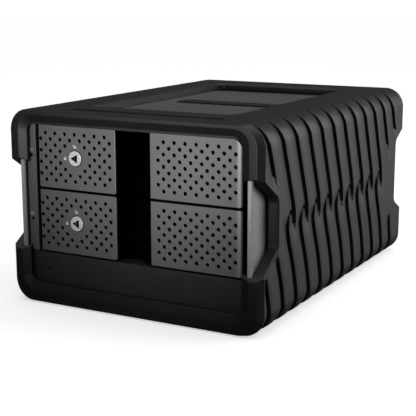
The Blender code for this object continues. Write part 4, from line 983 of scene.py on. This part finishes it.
@dataclass
class KeyLock:
    """Round key lock in a lever, its cam, and the two icons beside it."""

    bay: Bay
    radius: float = 0.0042

    def icon(self, x: float, z: float, y: float, is_open: bool) -> Mesh:
        """A tiny padlock, flat on the plate.

        Args:
            x: middle.
            z: middle.
            y: the plate's face.
            is_open: whether its shackle stands beside its body.

        Returns:
            The shape.
        """
        body = soft_block((x - 0.00085, y - 0.00006, z - 0.0009), (x + 0.00085, y + 0.0001, z + 0.0002),
                          0.00004, 1)
        shift = -0.00085 if is_open else 0.0
        shackle = bmesh.new()
        bmesh.ops.create_circle(shackle, cap_ends=True, radius=0.00014, segments=8,
                                matrix=Matrix.Translation((x + shift + 0.0005, y, z + 0.0002)))
        bmesh.ops.spin(shackle, geom=shackle.faces[:], cent=(x + shift, y, z + 0.0002), axis=(0, -1, 0),
                       angle=math.pi, steps=10, use_duplicate=False)
        bmesh.ops.scale(shackle, vec=(1, 0.5, 1.3), verts=shackle.verts,
                        space=Matrix.Translation((-x - shift, -y, -z - 0.0002)))
        return merged(body, shackle)

    def build(self) -> None:
        """Makes the lock, its cam and the icons."""
        low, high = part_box(self.bay.node("lock_cylinder"))
        x, z = (low.x + high.x) / 2, (low.z + high.z) / 2
        face = low.y
        barrel = rod((x, (face + high.y) / 2, z), self.radius, high.y - face, Axis.Y, 64)
        soften(barrel, sharp(barrel, 60), 0.0005, 4)
        slot = block((x - 0.0007, face - 0.001, z - 0.0014), (x + 0.0001, face + 0.004, z + 0.0014))
        whole = carved(barrel, slot, solver="EXACT")
        piece(self.bay.node("lock_barrel"), whole, self.bay.lock, ENAMEL, [self.bay.node("lock_cylinder")], 30)
        points = [(x - 0.0026, z), (x + 0.0016, z - 0.0024), (x + 0.0016, z + 0.0024)]
        pointer = outline_solid(points, Axis.Y, face - 0.00012, face + 0.0003, 0.00025, 3)
        slot = block((x - 0.0007, face - 0.001, z - 0.0014), (x + 0.0001, face + 0.004, z + 0.0014))
        piece(self.bay.node("lock_pointer"), carved(pointer, slot), self.bay.lock, BLACK_WITH_PAINTED_SHADE)
        cam = refined(self.bay.node("lock_cam"), FRAME, 0.0002)
        nut = rod((x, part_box(self.bay.node("lock_cam"))[1].y - 0.0001, z), 0.0017, 0.0012, Axis.Y, 6)
        piece(self.bay.node("cam_arm"), merged(cam, nut), self.bay.lock, STEEL, [self.bay.node("lock_cam")])
        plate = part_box(self.bay.node("latch_grille"))[0].y
        icons = merged(self.icon(x, z + 0.0066, plate, True), self.icon(x - 0.0067, z - 0.0003, plate, False))
        piece(self.bay.node("lock_icons"), icons, self.bay.latch, MARK)


@dataclass
class TrayFront:
    """The face of one tray: its two plates, the lever's frame, the moulded nose, the hinge pin and the lock."""

    bay: Bay
    tuck: float = 0.0004  # lever frame's right side behind the plate's
    corner: float = 0.0013

    def build(self) -> None:
        """Makes every piece of the face."""
        lock_low, lock_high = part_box(self.bay.node("lock_cylinder"))
        lock = ((lock_low.x + lock_high.x) / 2, (lock_low.z + lock_high.z) / 2)
        corner = 0.0055 if self.bay is Bay.UPPER else 0.0012
        PerforatedPlate(self.bay.node("latch_grille"), self.bay.latch, 0.00136, lock=lock).build()
        PerforatedPlate(self.bay.node("fixed_grille"), self.bay.tray, 0.00484, corner, True).build()
        frame = refined(self.bay.node("latch_frame"), FRAME)
        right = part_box(self.bay.node("latch_frame"))[1].x
        corners = along(frame, Axis.Y, lambda spot: spot.x > right - self.tuck)
        bmesh.ops.translate(frame, vec=(-self.tuck, 0, 0),
                            verts=[vert for vert in frame.verts if vert.co.x > right - self.tuck])
        soften(frame, corners, self.corner, 4)
        soften(frame, sharp(frame, 60), 0.0003)
        # The lever frame and the nose take the near-black finish with painted shade.
        piece(self.bay.node("lever_frame"), frame, self.bay.latch, BLACK_WITH_PAINTED_SHADE, [self.bay.node("latch_frame")])
        nose = refined(self.bay.node("tray_bezel"), FRAME, 0.0003)
        piece(self.bay.node("tray_nose"), nose, self.bay.tray, BLACK_WITH_PAINTED_SHADE, [self.bay.node("tray_bezel")])
        low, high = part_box(self.bay.node("hinge_pin"))
        pin = rod((low + high) / 2, (high.x - low.x) / 2, high.z - low.z, Axis.Z, 32)
        soften(pin, sharp(pin, 60), 0.0002, 2)
        piece(self.bay.node("hinge_rod"), pin, self.bay.tray, CHROME, [self.bay.node("hinge_pin")])
        KeyLock(self.bay).build()


@dataclass
class FrontTrim:
    """Indicator strip, fascia, the three lights and the marks over two of them."""

    mark_rise: float = 0.003

    def build(self) -> None:
        """Makes every piece of the trim."""
        strip = refined("indicator_strip", FRAME, 0.00025)
        piece("light_strip", strip, "enclosure", PANEL, ["indicator_strip"])
        fascia = refined("front_fascia", FRAME, 0.0003)
        piece("lower_fascia", fascia, "enclosure", PLASTIC, ["front_fascia"])
        for name in ("light_pipe_lower", "light_pipe_power", "light_pipe_upper"):
            low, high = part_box(name)
            pipe = rod((low + high) / 2, (high.x - low.x) / 2, high.y - low.y, Axis.Y, 24)
            soften(pipe, sharp(pipe, 60), 0.00018, 2)
            piece(name.replace("pipe", "lens"), pipe, "enclosure", LENS, [name])
        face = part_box("indicator_strip")[0].y
        marks = []
        for name in ("light_pipe_lower", "light_pipe_upper"):
            low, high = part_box(name)
            x, z = (low.x + high.x) / 2 - 0.0008, (low.z + high.z) / 2 + self.mark_rise
            hoop = bmesh.new()
            bmesh.ops.create_circle(hoop, cap_ends=False, radius=0.00013, segments=8,
                                    matrix=Matrix.Translation((0.0008, 0, 0)))
            bmesh.ops.spin(hoop, geom=hoop.edges[:], cent=(0, 0, 0), axis=(0, 1, 0), angle=2 * math.pi,
                           steps=24, use_merge=True, use_duplicate=False)
            bmesh.ops.remove_doubles(hoop, verts=hoop.verts, dist=1e-7)
            bmesh.ops.scale(hoop, vec=(1, 0.5, 1), verts=hoop.verts)
            marks += [moved(hoop, Matrix.Translation((x, face, z))),
                      rod((x, face, z), 0.0003, 0.00012, Axis.Y, 12)]
            marks += [soft_block((x + 0.0012, face - 0.00006, z - 0.0006 + rise), (x + 0.0020, face + 0.0001,
                                 z - 0.0003 + rise), 0.00003, 1) for rise in (0.0, 0.0008)]
        piece("light_marks", merged(*marks), "enclosure", MARK)


# ---- inside ---------------------------------------------------------------------------------------------
@dataclass
class DriveTray:
    """One drive on its folded tray, with the connector behind it and the rails beside it."""

    bay: Bay

    def drive(self) -> None:
        """Casting, pressed cover, blank label, screws and the board underneath."""
        low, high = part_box(self.bay.node("hard_drive"))
        seam = high.z - 0.0052
        base = block(low, (high.x, high.y, seam))
        soften(base, along(base, Axis.Z), 0.0025, 4)
        soften(base, sharp(base, 60), 0.0004, 1)
        cover = block((low.x + 0.0008, low.y + 0.0008, seam),
                      (high.x - 0.0008, high.y - 0.004, high.z - 0.0006))
        soften(cover, along(cover, Axis.Z), 0.004, 6)
        soften(cover, sharp(cover, 60, lambda spot: spot.z > high.z - 0.001), 0.0005, 2)
        middle = Vector(((low.x + high.x) / 2, low.y + 0.052, high.z))
        swell = rod(middle - Vector((0, 0, 0.0008)), 0.044, 0.0016, Axis.Z, 96, 0.0434)
        spots = [(low.x + 0.006, low.y + 0.006), (high.x - 0.006, low.y + 0.006), (low.x + 0.006, high.y - 0.011),
                 (high.x - 0.006, high.y - 0.011), (low.x + 0.005, low.y + 0.07), (high.x - 0.005, low.y + 0.07),
                 (middle.x, middle.y)]
        screws = [machine_screw((x, y, high.z - 0.0006), 0.0018, 0.0006, Axis.Z) for x, y in spots]
        piece(self.bay.node("drive_base"), base, self.bay.tray, CASTING, [self.bay.node("hard_drive")])
        piece(self.bay.node("drive_cover"), merged(cover, swell), self.bay.tray, COVER)
        piece(self.bay.node("drive_screws"), merged(*screws), self.bay.tray, CHROME)
        label = soft_block((low.x + 0.018, high.y - 0.062, high.z - 0.0007), (high.x - 0.018, high.y - 0.016,
                           high.z - 0.00045), 0.0001, 1)
        piece(self.bay.node("drive_label"), label, self.bay.tray, PAPER)
        board = soft_block((low.x + 0.012, low.y + 0.03, low.z - 0.0002), (high.x - 0.004, high.y - 0.002,
                           low.z + 0.0006), 0.0001, 1)
        piece(self.bay.node("drive_board"), board, self.bay.tray, BOARD)

    def build(self) -> None:
        """Makes the tray's inner pieces."""
        self.drive()
        chassis = refined(self.bay.node("tray_chassis"), FRAME, 0.0003)
        piece(self.bay.node("tray_channel"), chassis, self.bay.tray, STEEL, [self.bay.node("tray_chassis")])
        for side in ("left", "right"):
            rail = refined(self.bay.node(f"{side}_rail"), FRAME, 0.0005)
            piece(self.bay.node(f"{side}_runner"), rail, "enclosure", PLASTIC, [self.bay.node(f"{side}_rail")])
        low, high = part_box(self.bay.node("drive_connector"))
        housing = soft_block(low, high, 0.0004)
        tongue = block((low.x + 0.004, low.y - 0.001, low.z + 0.0022), (high.x - 0.006, high.y - 0.001,
                       high.z - 0.0022))
        housing = carved(housing, tongue, solver="EXACT")
        piece(self.bay.node("drive_socket"), housing, "enclosure", PLASTIC, [self.bay.node("drive_connector")])
        step = (high.x - low.x - 0.012) / 21
        pins = [block((low.x + 0.005 + i * step, low.y + 0.0003, low.z + 0.0022), (low.x + 0.0056 + i * step,
                      high.y - 0.001, low.z + 0.0026)) for i in range(22)]
        piece(self.bay.node("socket_contacts"), merged(*pins), "enclosure", GOLD)


def machine_screw(seat: Iterable[float], radius: float, height: float, axis: Axis) -> Mesh:
    """A pan-head screw with a cross recess, whose head rises from its seat along the axis."""
    made = rod((0, 0, height / 2), radius, height, Axis.Z, 32)
    soften(made, sharp(made, 60, lambda spot: spot.z > height * 0.6), height * 0.45, 3)
    arm, width, depth = radius * 0.55, radius * 0.16, height * 0.6
    for along_x in (True, False):
        reach = Vector((arm, width, 0)) if along_x else Vector((width, arm, 0))
        floor, top = Vector((0, 0, height - depth)), Vector((0, 0, height * 1.5))
        made = carved(made, block(floor - reach, top + reach), solver="EXACT")
    return moved(made, Matrix.Translation(seat) @ axis.turn())


@dataclass
class Cage:
    """Sheet-steel cage round the trays, with stamped slots."""

    slot_width: float = 0.004

    def slotted(self, node: str, axis: Axis) -> Mesh:
        """A cage sheet with long stamped slots through it.

        Args:
            node: the sheet's frame node.
            axis: direction through the sheet.

        Returns:
            The shape.
        """
        low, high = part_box(node)
        sheet = soft_block(low, high, 0.0002, 1)
        cutters = []
        other = Axis.Z if axis is Axis.X else Axis.X
        count = 4 if axis is Axis.Z else 3
        for turn in range(6):
            y = low.y + (high.y - low.y) * (turn + 0.5) / 6
            for place in range(count):
                middle = low[other.value] + (high[other.value] - low[other.value]) * (place + 0.5) / count
                corners = [Vector(), Vector()]
                for sign, corner in zip((-1, 1), corners):
                    corner[axis.value] = (low if sign < 0 else high)[axis.value] + sign * 0.001
                    corner.y = y + sign * 0.008
                    corner[other.value] = middle + sign * self.slot_width / 2
                cutter = block(*corners)
                cutters.append(soften(cutter, along(cutter, axis), self.slot_width * 0.48, 4))
        return carved(sheet, *cutters)

    def build(self) -> None:
        """Makes the four sheets."""
        for node, axis in (("cage_floor", Axis.Z), ("cage_roof", Axis.Z), ("cage_left_wall", Axis.X),
                           ("cage_right_wall", Axis.X)):
            piece(node.replace("cage", "slotted"), self.slotted(node, axis), "enclosure", STEEL, [node])


@dataclass
class Boards:
    """Backplane and controller board with their chips, capacitors and heat sink."""

    chip_height: float = 0.0012

    def build(self) -> None:
        """Makes the boards and what stands on them."""
        low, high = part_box("backplane_board")
        piece("backplane", soft_block(low, high, 0.0001, 1), "enclosure", BOARD, ["backplane_board"])
        chips = [soft_block((low.x + 0.07, high.y, low.z + rise), (low.x + 0.082, high.y + self.chip_height,
                            low.z + rise + 0.012), 0.0002, 1) for rise in (0.012, 0.045)]
        cans = [can((low.x + 0.015 + 0.011 * i, high.y, low.z + 0.035), Axis.Y, 0.0032, 0.007)
                for i in range(3)]
        low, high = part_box("controller_board")
        piece("controller", soft_block(low, high, 0.0001, 1), "enclosure", BOARD, ["controller_board"])
        places = [(-0.05, 0.03, 0.012), (0.03, 0.03, 0.01), (0.045, -0.01, 0.008), (-0.03, 0.06, 0.007),
                  (0.0, 0.062, 0.014), (0.04, 0.065, 0.009)]
        chips += [soft_block((x, y, high.z), (x + size, y + size, high.z + self.chip_height), 0.0002, 1)
                  for x, y, size in places]
        cans += [can((-0.055 + 0.009 * i, 0.075, high.z), Axis.Z, 0.003, 0.006) for i in range(4)]
        piece("board_chips", merged(*chips), "enclosure", CHIP)
        piece("board_capacitors", merged(*cans), "enclosure", CHROME)
        sink = refined("heat_sink", FRAME, 0.00015)
        piece("finned_sink", sink, "enclosure", PANEL, ["heat_sink"])


def can(seat: Iterable[float], axis: Axis, radius: float, height: float) -> Mesh:
    """A round capacitor that rises from its seat along the axis, with a crimped neck."""
    made = rod((0, 0, height / 2), radius, height, Axis.Z, 32)
    for share in (0.12, 0.2):
        bmesh.ops.bisect_plane(made, geom=made.verts[:] + made.edges[:] + made.faces[:],
                               plane_co=(0, 0, height * share), plane_no=(0, 0, 1))
    neck = [vert for vert in made.verts if height * 0.1 < vert.co.z < height * 0.14]
    bmesh.ops.scale(made, vec=(0.9, 0.9, 1), verts=neck)
    soften(made, sharp(made, 60, lambda spot: spot.z > height * 0.9), height * 0.06, 2)
    return moved(made, Matrix.Translation(seat) @ axis.turn())


# ---- rear -----------------------------------------------------------------------------------------------
@dataclass
class CoolingFan:
    """Axial fan: frame with a flared bore, rotor with swept blades, wire guard and screws."""

    bore: float = 0.0275
    hub: float = 0.0135
    blades: int = 7
    guard_wire: float = 0.0005
    tip_gap: float = 0.0016

    def __post_init__(self) -> None:
        low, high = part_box("fan_frame")
        self.low, self.high = low, high
        self.x, self.z = (low.x + high.x) / 2, (low.z + high.z) / 2

    def frame(self) -> Mesh:
        """Square frame with a round bore, flanges and three struts to the motor plate."""
        made = block(self.low, self.high)
        soften(made, along(made, Axis.Y), 0.004, 6)
        soften(made, sharp(made, 60), 0.0004, 2)
        middle = (self.low + self.high) / 2
        depth = self.high.y - self.low.y
        cutter = rod(middle, self.bore, depth + 0.002, Axis.Y, 96)
        flares = [rod((self.x, y, self.z), radii[0], 0.0025, Axis.Y, 96, radii[1])
                  for y, radii in ((self.low.y + 0.001, (self.bore + 0.0012, self.bore - 0.0002)),
                                   (self.high.y - 0.001, (self.bore - 0.0002, self.bore + 0.0012)))]
        made = carved(made, cutter)
        for flare in flares:
            made = carved(made, flare, solver="EXACT")
        holes = [rod((self.x + sx * 0.025, middle.y, self.z + sz * 0.025), 0.0016, depth + 0.002, Axis.Y, 16)
                 for sx in (-1, 1) for sz in (-1, 1)]
        made = carved(made, *holes, solver="EXACT")
        plate = rod((self.x, self.low.y + 0.0011, self.z), self.hub, 0.0022, Axis.Y, 64)
        soften(plate, sharp(plate, 60), 0.0003, 2)
        struts = []
        for turn in range(4):
            bar = soft_block((-0.0015, self.low.y + 0.0004, self.hub - 0.001), (0.0015, self.low.y + 0.0018,
                             self.bore + 0.0008), 0.0003)
            struts.append(moved(bar, Matrix.Translation((self.x, 0, self.z))
                                @ Matrix.Rotation(turn * math.pi / 2, 4, "Y")))
        return merged(made, plate, *struts)

    def blade(self) -> Mesh:
        """One curved blade about the fan's axis, pointing up, as a closed shell."""
        low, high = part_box("fan_rotor")
        made = bmesh.new()
        bmesh.ops.create_grid(made, x_segments=8, y_segments=12, size=1)
        depth = (high.y - low.y) * 0.42
        middle = (low.y + high.y) / 2
        tip = self.bore - self.tip_gap
        for vert in made.verts:
            chord, reach = vert.co.x, (vert.co.y + 1) / 2
            radius = self.hub - 0.0006 + (tip - self.hub + 0.0006) * reach
            width = 0.30 + 0.06 * reach
            angle = chord * width + 0.22 * reach * reach
            camber = 0.0009 * (1 - chord * chord)
            vert.co = (radius * math.sin(angle), middle + chord * depth + camber, radius * math.cos(angle))
        bmesh.ops.solidify(made, geom=made.faces[:], thickness=0.0009)
        bmesh.ops.recalc_face_normals(made, faces=made.faces)
        return made

    def rotor(self) -> Mesh:
        """Hub with a rounded cap, and all the blades."""
        low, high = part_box("fan_rotor")
        middle = Vector((0, (low.y + high.y) / 2, 0))
        hub = rod(middle, self.hub, high.y - low.y, Axis.Y, 96)
        soften(hub, sharp(hub, 60), 0.0009, 4)
        dish = rod((0, high.y, 0), self.hub - 0.003, 0.0008, Axis.Y, 96)
        hub = carved(hub, dish, solver="EXACT")
        blades = [moved(self.blade(), Matrix.Rotation(2 * math.pi * turn / self.blades, 4, "Y"))
                  for turn in range(self.blades)]
        return moved(merged(hub, *blades), Matrix.Translation((self.x, 0, self.z)))

    def guard(self) -> Mesh:
        """Wire rings on four crossing spokes, with an eye at each corner."""
        low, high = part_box("fan_guard")
        y = (low.y + high.y) / 2
        parts = []
        for radius in (0.006, 0.0105, 0.015, 0.0195, 0.024, 0.0275):
            ring = bmesh.new()
            bmesh.ops.create_circle(ring, cap_ends=False, radius=self.guard_wire, segments=8,
                                    matrix=Matrix.Translation((radius, 0, 0)))
            bmesh.ops.spin(ring, geom=ring.edges[:], cent=(0, 0, 0), axis=(0, 1, 0), angle=2 * math.pi,
                           steps=72, use_merge=True, use_duplicate=False)
            bmesh.ops.remove_doubles(ring, verts=ring.verts, dist=1e-6)
            parts.append(moved(ring, Matrix.Translation((self.x, y, self.z))))
        for turn in range(4):
            spoke = rod((0, 0, 0.0185), self.guard_wire, 0.0325, Axis.Z, 8)
            spoke = moved(spoke, Matrix.Rotation(math.radians(45 + 90 * turn), 4, "Y"))
            parts.append(moved(spoke, Matrix.Translation((self.x, y + 0.0001, self.z))))
        for sx in (-1, 1):
            for sz in (-1, 1):
                spot = (self.x + sx * 0.025, y, self.z + sz * 0.025)
                eye = rod(spot, 0.0031, high.y - low.y, Axis.Y, 32)
                parts.append(carved(eye, rod(spot, 0.0016, 0.004, Axis.Y, 24)))
        return merged(*parts)

    def build(self) -> None:
        """Makes the fan's pieces."""
        piece("fan_housing", self.frame(), "enclosure", PLASTIC, ["fan_frame"], 30)
        piece("fan_blades", self.rotor(), "fan", PLASTIC, ["fan_rotor"], 40)
        piece("wire_guard", self.guard(), "enclosure", CHROME, ["fan_guard"], 40)
        for number in range(1, 5):
            rear_screw(f"fan_screw_{number}", f"fan_bolt_{number}")


def rear_screw(node: str, name: str) -> None:
    """Makes one screw of the rear from its frame node."""
    low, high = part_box(node)
    x, z = (low.x + high.x) / 2, (low.z + high.z) / 2
    radius = (high.x - low.x) / 2
    head = machine_screw((x, high.y - 0.0013, z), radius, 0.0013, Axis.Y)
    shank = rod((x, (low.y + high.y - 0.0012) / 2, z), 0.0013, high.y - 0.0012 - low.y, Axis.Y, 24)
    piece(name, merged(head, shank), "enclosure", CHROME, [node])


@dataclass
class RearPanel:
    """Rear plate with its round fan opening, slots, screws, sockets and controls."""

    fan: CoolingFan

    def plate(self) -> Mesh:
        """The plate, with each opening taken from the piece that fills it."""
        low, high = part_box("rear_panel")
        points = [(low.x, low.z), (high.x, low.z), (high.x, high.z), (low.x, high.z)]
        made = outline_solid(points, Axis.Y, low.y, high.y, 0.005, 8)
        soften(made, sharp(made, 60, lambda spot: spot.y > high.y - 0.0001), 0.0004, 2)
        through = (low.y - 0.001, high.y + 0.001)
        middle = (low.y + high.y) / 2
        cutters = [rod((self.fan.x, middle, self.fan.z), self.fan.bore, 0.006, Axis.Y, 96)]
        left = self.fan.high.x + 0.008
        count = int((high.x + 0.0003 - 0.012 - left) / 0.007)
        for place in range(count):
            x = left + 0.007 * place
            slot = block((x, through[0], self.fan.z - 0.022), (x + 0.003, through[1], self.fan.z + 0.022))
            cutters.append(soften(slot, along(slot, Axis.Y), 0.0014, 4))
        for node, grow, corner in (("power_inlet", 0.0003, 0.0), ("data_port_1", 0.0003, 0.0012),
                                   ("data_port_2", 0.0003, 0.0012), ("switch_frame", -0.00065, 0.0)):
            first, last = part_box(node)
            hole = block((first.x - grow, through[0], first.z - grow),
                         (last.x + grow, through[1], last.z + grow))
            cutters.append(soften(hole, along(hole, Axis.Y), corner, 4) if corner else hole)
        for node, grow in (("mode_dial", 0.0003), ("confirm_button", 0.0003)):
            first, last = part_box(node)
            spot = (first + last) / 2
            cutters.append(rod((spot.x, middle, spot.z), (last.x - first.x) / 2 + grow, 0.006, Axis.Y, 48))
        for name in [f"fan_screw_{n}" for n in range(1, 5)] + [f"panel_screw_{n}" for n in range(1, 5)]:
            first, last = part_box(name)
            spot = (first + last) / 2
            cutters.append(rod((spot.x, middle, spot.z), 0.0016, 0.006, Axis.Y, 16))
        return carved(made, *cutters)

    def sockets(self) -> None:
        """Round power inlet with its pin, and two data ports with their tongues."""
        low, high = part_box("power_inlet")
        middle = (low + high) / 2
        shell = soft_block(low, high, 0.0006, 3)
        shell = carved(shell, rod((middle.x, high.y - 0.004, middle.z), 0.0042, 0.012, Axis.Y, 64))
        lip = rod((middle.x, high.y, middle.z), 0.0050, 0.0006, Axis.Y, 64)
        shell = carved(shell, carved(lip, rod((middle.x, high.y, middle.z), 0.0046, 0.002, Axis.Y, 64)),
                       solver="EXACT")
        piece("inlet_shell", shell, "enclosure", PLASTIC, ["power_inlet"], 30)
        pin = rod((middle.x, high.y - 0.0055, middle.z), 0.0011, 0.009, Axis.Y, 32)
        soften(pin, sharp(pin, 60), 0.0004, 3)
        piece("inlet_pin", pin, "enclosure", CHROME)
        for number in (1, 2):
            low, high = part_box(f"data_port_{number}")
            middle = (low + high) / 2
            shell = block(low, high)
            soften(shell, along(shell, Axis.Y), 0.0014, 6)
            mouth = block((low.x + 0.0004, high.y - 0.006, low.z + 0.0004), (high.x - 0.0004, high.y + 0.001,
                          high.z - 0.0004))
            soften(mouth, along(mouth, Axis.Y), 0.001, 6)
            piece(f"port_shell_{number}", carved(shell, mouth), "enclosure", CHROME,
                  [f"data_port_{number}"], 30)
            tongue = soft_block((low.x + 0.0016, high.y - 0.0062, middle.z - 0.00035), (high.x - 0.0016,
                                high.y - 0.0008, middle.z + 0.00035), 0.00015)
            piece(f"port_tongue_{number}", tongue, "enclosure", GLOSS)
            pins = [block((low.x + 0.0021 + 0.00045 * i, high.y - 0.006, middle.z + 0.0003),
                          (low.x + 0.0023 + 0.00045 * i, high.y - 0.0014, middle.z + 0.0004)) for i in range(12)]
            piece(f"port_contacts_{number}", merged(*pins), "enclosure", GOLD)

    def controls(self) -> None:
        """Rocker in its frame, mode dial with numbered marks, and confirm button."""
        frame = refined("switch_frame", FRAME, 0.0003)
        piece("rocker_frame", frame, "enclosure", PLASTIC, ["switch_frame"])
        rocker = refined("power_rocker", FRAME, 0.0004, 30)
        piece("rocker_key", rocker, "rocker", GLOSS, ["power_rocker"], 30)
        low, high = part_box("mode_dial")
        spot = (low + high) / 2
        radius = (high.x - low.x) / 2
        dial = rod(spot, radius, high.y - low.y, Axis.Y, 64)
        soften(dial, sharp(dial, 60, lambda place: place.y > high.y - 0.0001), 0.0005, 3)
        slot = block((spot.x - 0.0005, high.y - 0.001, spot.z - 0.0028), (spot.x + 0.0005, high.y + 0.001,
                     spot.z + 0.0028))
        piece("dial_knob", carved(dial, slot, solver="EXACT"), "dial", PLASTIC, ["mode_dial"], 30)
        arrow = outline_solid([(spot.x - 0.0007, spot.z + 0.0030), (spot.x + 0.0007, spot.z + 0.0030),
                               (spot.x, spot.z + 0.0038)], Axis.Y, high.y - 0.0001, high.y + 0.00004)
        piece("dial_arrow", arrow, "dial", MARK)
        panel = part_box("rear_panel")[1].y
        for number in range(4):
            angle = math.radians(-45 * number)
            place = Vector((spot.x + 0.0066 * math.sin(angle), panel, spot.z + 0.0066 * math.cos(angle)))
            figure(str(number + 1), place, 0.0022, f"dial_number_{number + 1}")
        low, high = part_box("confirm_button")
        spot = (low + high) / 2
        button = rod(spot, (high.x - low.x) / 2, high.y - low.y, Axis.Y, 48)
        soften(button, sharp(button, 60, lambda place: place.y > high.y - 0.0001), 0.0006, 4)
        piece("press_button", button, "button", GLOSS, ["confirm_button"], 30)

    def build(self) -> None:
        """Makes the plate and everything on it."""
        piece("rear_plate", self.plate(), "enclosure", PANEL, ["rear_panel"], 35)
        for number in range(1, 5):
            rear_screw(f"panel_screw_{number}", f"panel_bolt_{number}")
        self.sockets()
        self.controls()


def figure(words: str, place: Vector, size: float, name: str) -> None:
    """A thin number on a face that looks to the rear."""
    curve = bpy.data.curves.new(name, "FONT")
    curve.body = words
    curve.size = size
    curve.align_x = "CENTER"
    curve.align_y = "CENTER"
    curve.extrude = 0.00005
    holder = bpy.data.objects.new(name, curve)
    bpy.context.scene.collection.objects.link(holder)
    bpy.context.view_layer.update()
    mesh = bpy.data.meshes.new_from_object(holder.evaluated_get(bpy.context.evaluated_depsgraph_get()))
    made = bmesh.new()
    made.from_mesh(mesh)
    bpy.data.objects.remove(holder)
    bpy.data.curves.remove(curve)
    bpy.data.meshes.remove(mesh)
    bmesh.ops.remove_doubles(made, verts=made.verts, dist=1e-7)
    turn = Matrix.Rotation(math.pi, 4, "Z") @ Matrix.Rotation(math.pi / 2, 4, "X")
    piece(name, moved(made, Matrix.Translation(place) @ turn), "enclosure", MARK)


# ---- studio ---------------------------------------------------------------------------------------------
@dataclass
class Studio:
    """Pale floor, soft lights and the camera."""

    camera_place: tuple[float, float, float] = (0.2936, -0.5553, 0.1740)
    azimuth: float = 28.72
    elevation: float = 12.01
    roll: float = -0.09
    lens: float = 89.97
    sky_power: float = 1.4
    front_place: tuple[float, float, float] = (0.0, -1.1, 0.1)
    front_target: tuple[float, float, float] = (0.004, -0.1, 0.124)
    front_power: float = 32
    front_cone: float = 14
    lit: tuple[str, ...] = ("latch_plate", "fixed_plate", "light_strip", "lower_fascia", "lock_barrel",
                            "lock_icons", "light_marks", "extruded_tube", "moulded_sleeve")

    def camera(self) -> None:
        """Camera at the viewing angle."""
        data = bpy.data.cameras.new("camera")
        data.lens = self.lens
        data.sensor_width = 36
        data.clip_start = 0.01
        made = bpy.data.objects.new("camera", data)
        bpy.context.scene.collection.objects.link(made)
        turn = Matrix.Rotation(math.radians(self.azimuth), 4, "Z") \
            @ Matrix.Rotation(math.radians(90 - self.elevation), 4, "X") \
            @ Matrix.Rotation(math.radians(self.roll), 4, "Z")
        made.matrix_world = Matrix.Translation(self.camera_place) @ turn
        bpy.context.scene.camera = made

    def light(self, name: str, place: Iterable[float], target: Iterable[float], size: tuple[float, float],
              power: float) -> None:
        """A soft rectangular light.

        Args:
            name: the light's name.
            place: where it stands.
            target: what it faces.
            size: width and height.
            power: watts.
        """
        data = bpy.data.lights.new(name, "AREA")
        data.shape = "RECTANGLE"
        data.size, data.size_y = size
        data.energy = power
        made = bpy.data.objects.new(name, data)
        bpy.context.scene.collection.objects.link(made)
        direction = Vector(target) - Vector(place)
        made.matrix_world = Matrix.Translation(place) @ direction.to_track_quat("-Z", "Y").to_matrix().to_4x4()

    def stage(self, name: str, bm: Mesh, finish: Finish) -> bpy.types.Object:
        """A pale surface round the part, which throws no light on it.

        Args:
            name: the surface's name.
            bm: its shape, in place.
            finish: its finish.

        Returns:
            The object.
        """
        mesh = bpy.data.meshes.new(name)
        bm.to_mesh(mesh)
        bm.free()
        mesh.materials.append(finish.material())
        made = bpy.data.objects.new(name, mesh)
        bpy.context.scene.collection.objects.link(made)
        made.visible_diffuse = False
        made.visible_glossy = False
        return made

    def build(self) -> None:
        """Makes floor, backdrop, world, lights and camera."""
        floor = bmesh.new()
        bmesh.ops.create_grid(floor, x_segments=1, y_segments=1, size=30)
        bmesh.ops.translate(floor, vec=(0, 0, -0.0002), verts=floor.verts)
        self.stage("floor", floor, FLOOR)
        wall = bmesh.new()
        bmesh.ops.create_cone(wall, cap_ends=False, segments=64, radius1=6, radius2=6, depth=12)
        self.stage("backdrop", wall, BACKDROP).visible_shadow = False
        world = bpy.data.worlds.new("studio")
        world.use_nodes = True
        backdrop = world.node_tree.nodes["Background"]
        backdrop.inputs["Color"].default_value = (1, 1, 1, 1)
        backdrop.inputs["Strength"].default_value = 0.05
        bpy.context.scene.world = world
        sky = bpy.data.lights.new("sky", "SUN")
        sky.energy = self.sky_power
        sky.angle = math.radians(70)
        holder = bpy.data.objects.new("sky", sky)
        bpy.context.scene.collection.objects.link(holder)
        spot = bpy.data.lights.new("front", "SPOT")
        spot.energy = self.front_power
        spot.spot_size = math.radians(self.front_cone)
        spot.spot_blend = 1.0
        spot.shadow_soft_size = 0.04
        holder = bpy.data.objects.new("front", spot)
        bpy.context.scene.collection.objects.link(holder)
        turn = (Vector(self.front_target) - Vector(self.front_place)).to_track_quat("-Z", "Y")
        holder.matrix_world = Matrix.Translation(self.front_place) @ turn.to_matrix().to_4x4()
        face = bpy.data.collections.new("lit_face")
        for made in bpy.data.objects:
            if made.name.endswith(self.lit):
                face.objects.link(made)
        holder.light_linking.receiver_collection = face
        self.light("right", (0.8, 0.5, 0.3), (0.05, 0, 0.05), (0.9, 0.9), 6.6)
        self.camera()
        bpy.context.scene.view_settings.view_transform = "Standard"


FRAME: dict = {}


def main() -> None:
    """Builds the enclosure round its frame, then the studio."""
    logging.basicConfig(level=logging.INFO, format="%(name)s: %(message)s")
    FRAME.update(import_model())
    RubberSleeve().build()
    MetalHousing().build()
    FrontTrim().build()
    for bay in Bay:
        TrayFront(bay).build()
        DriveTray(bay).build()
    Cage().build()
    Boards().build()
    fan = CoolingFan()
    fan.build()
    RearPanel(fan).build()
    Studio().build()


if __name__ == "__main__":
    main()
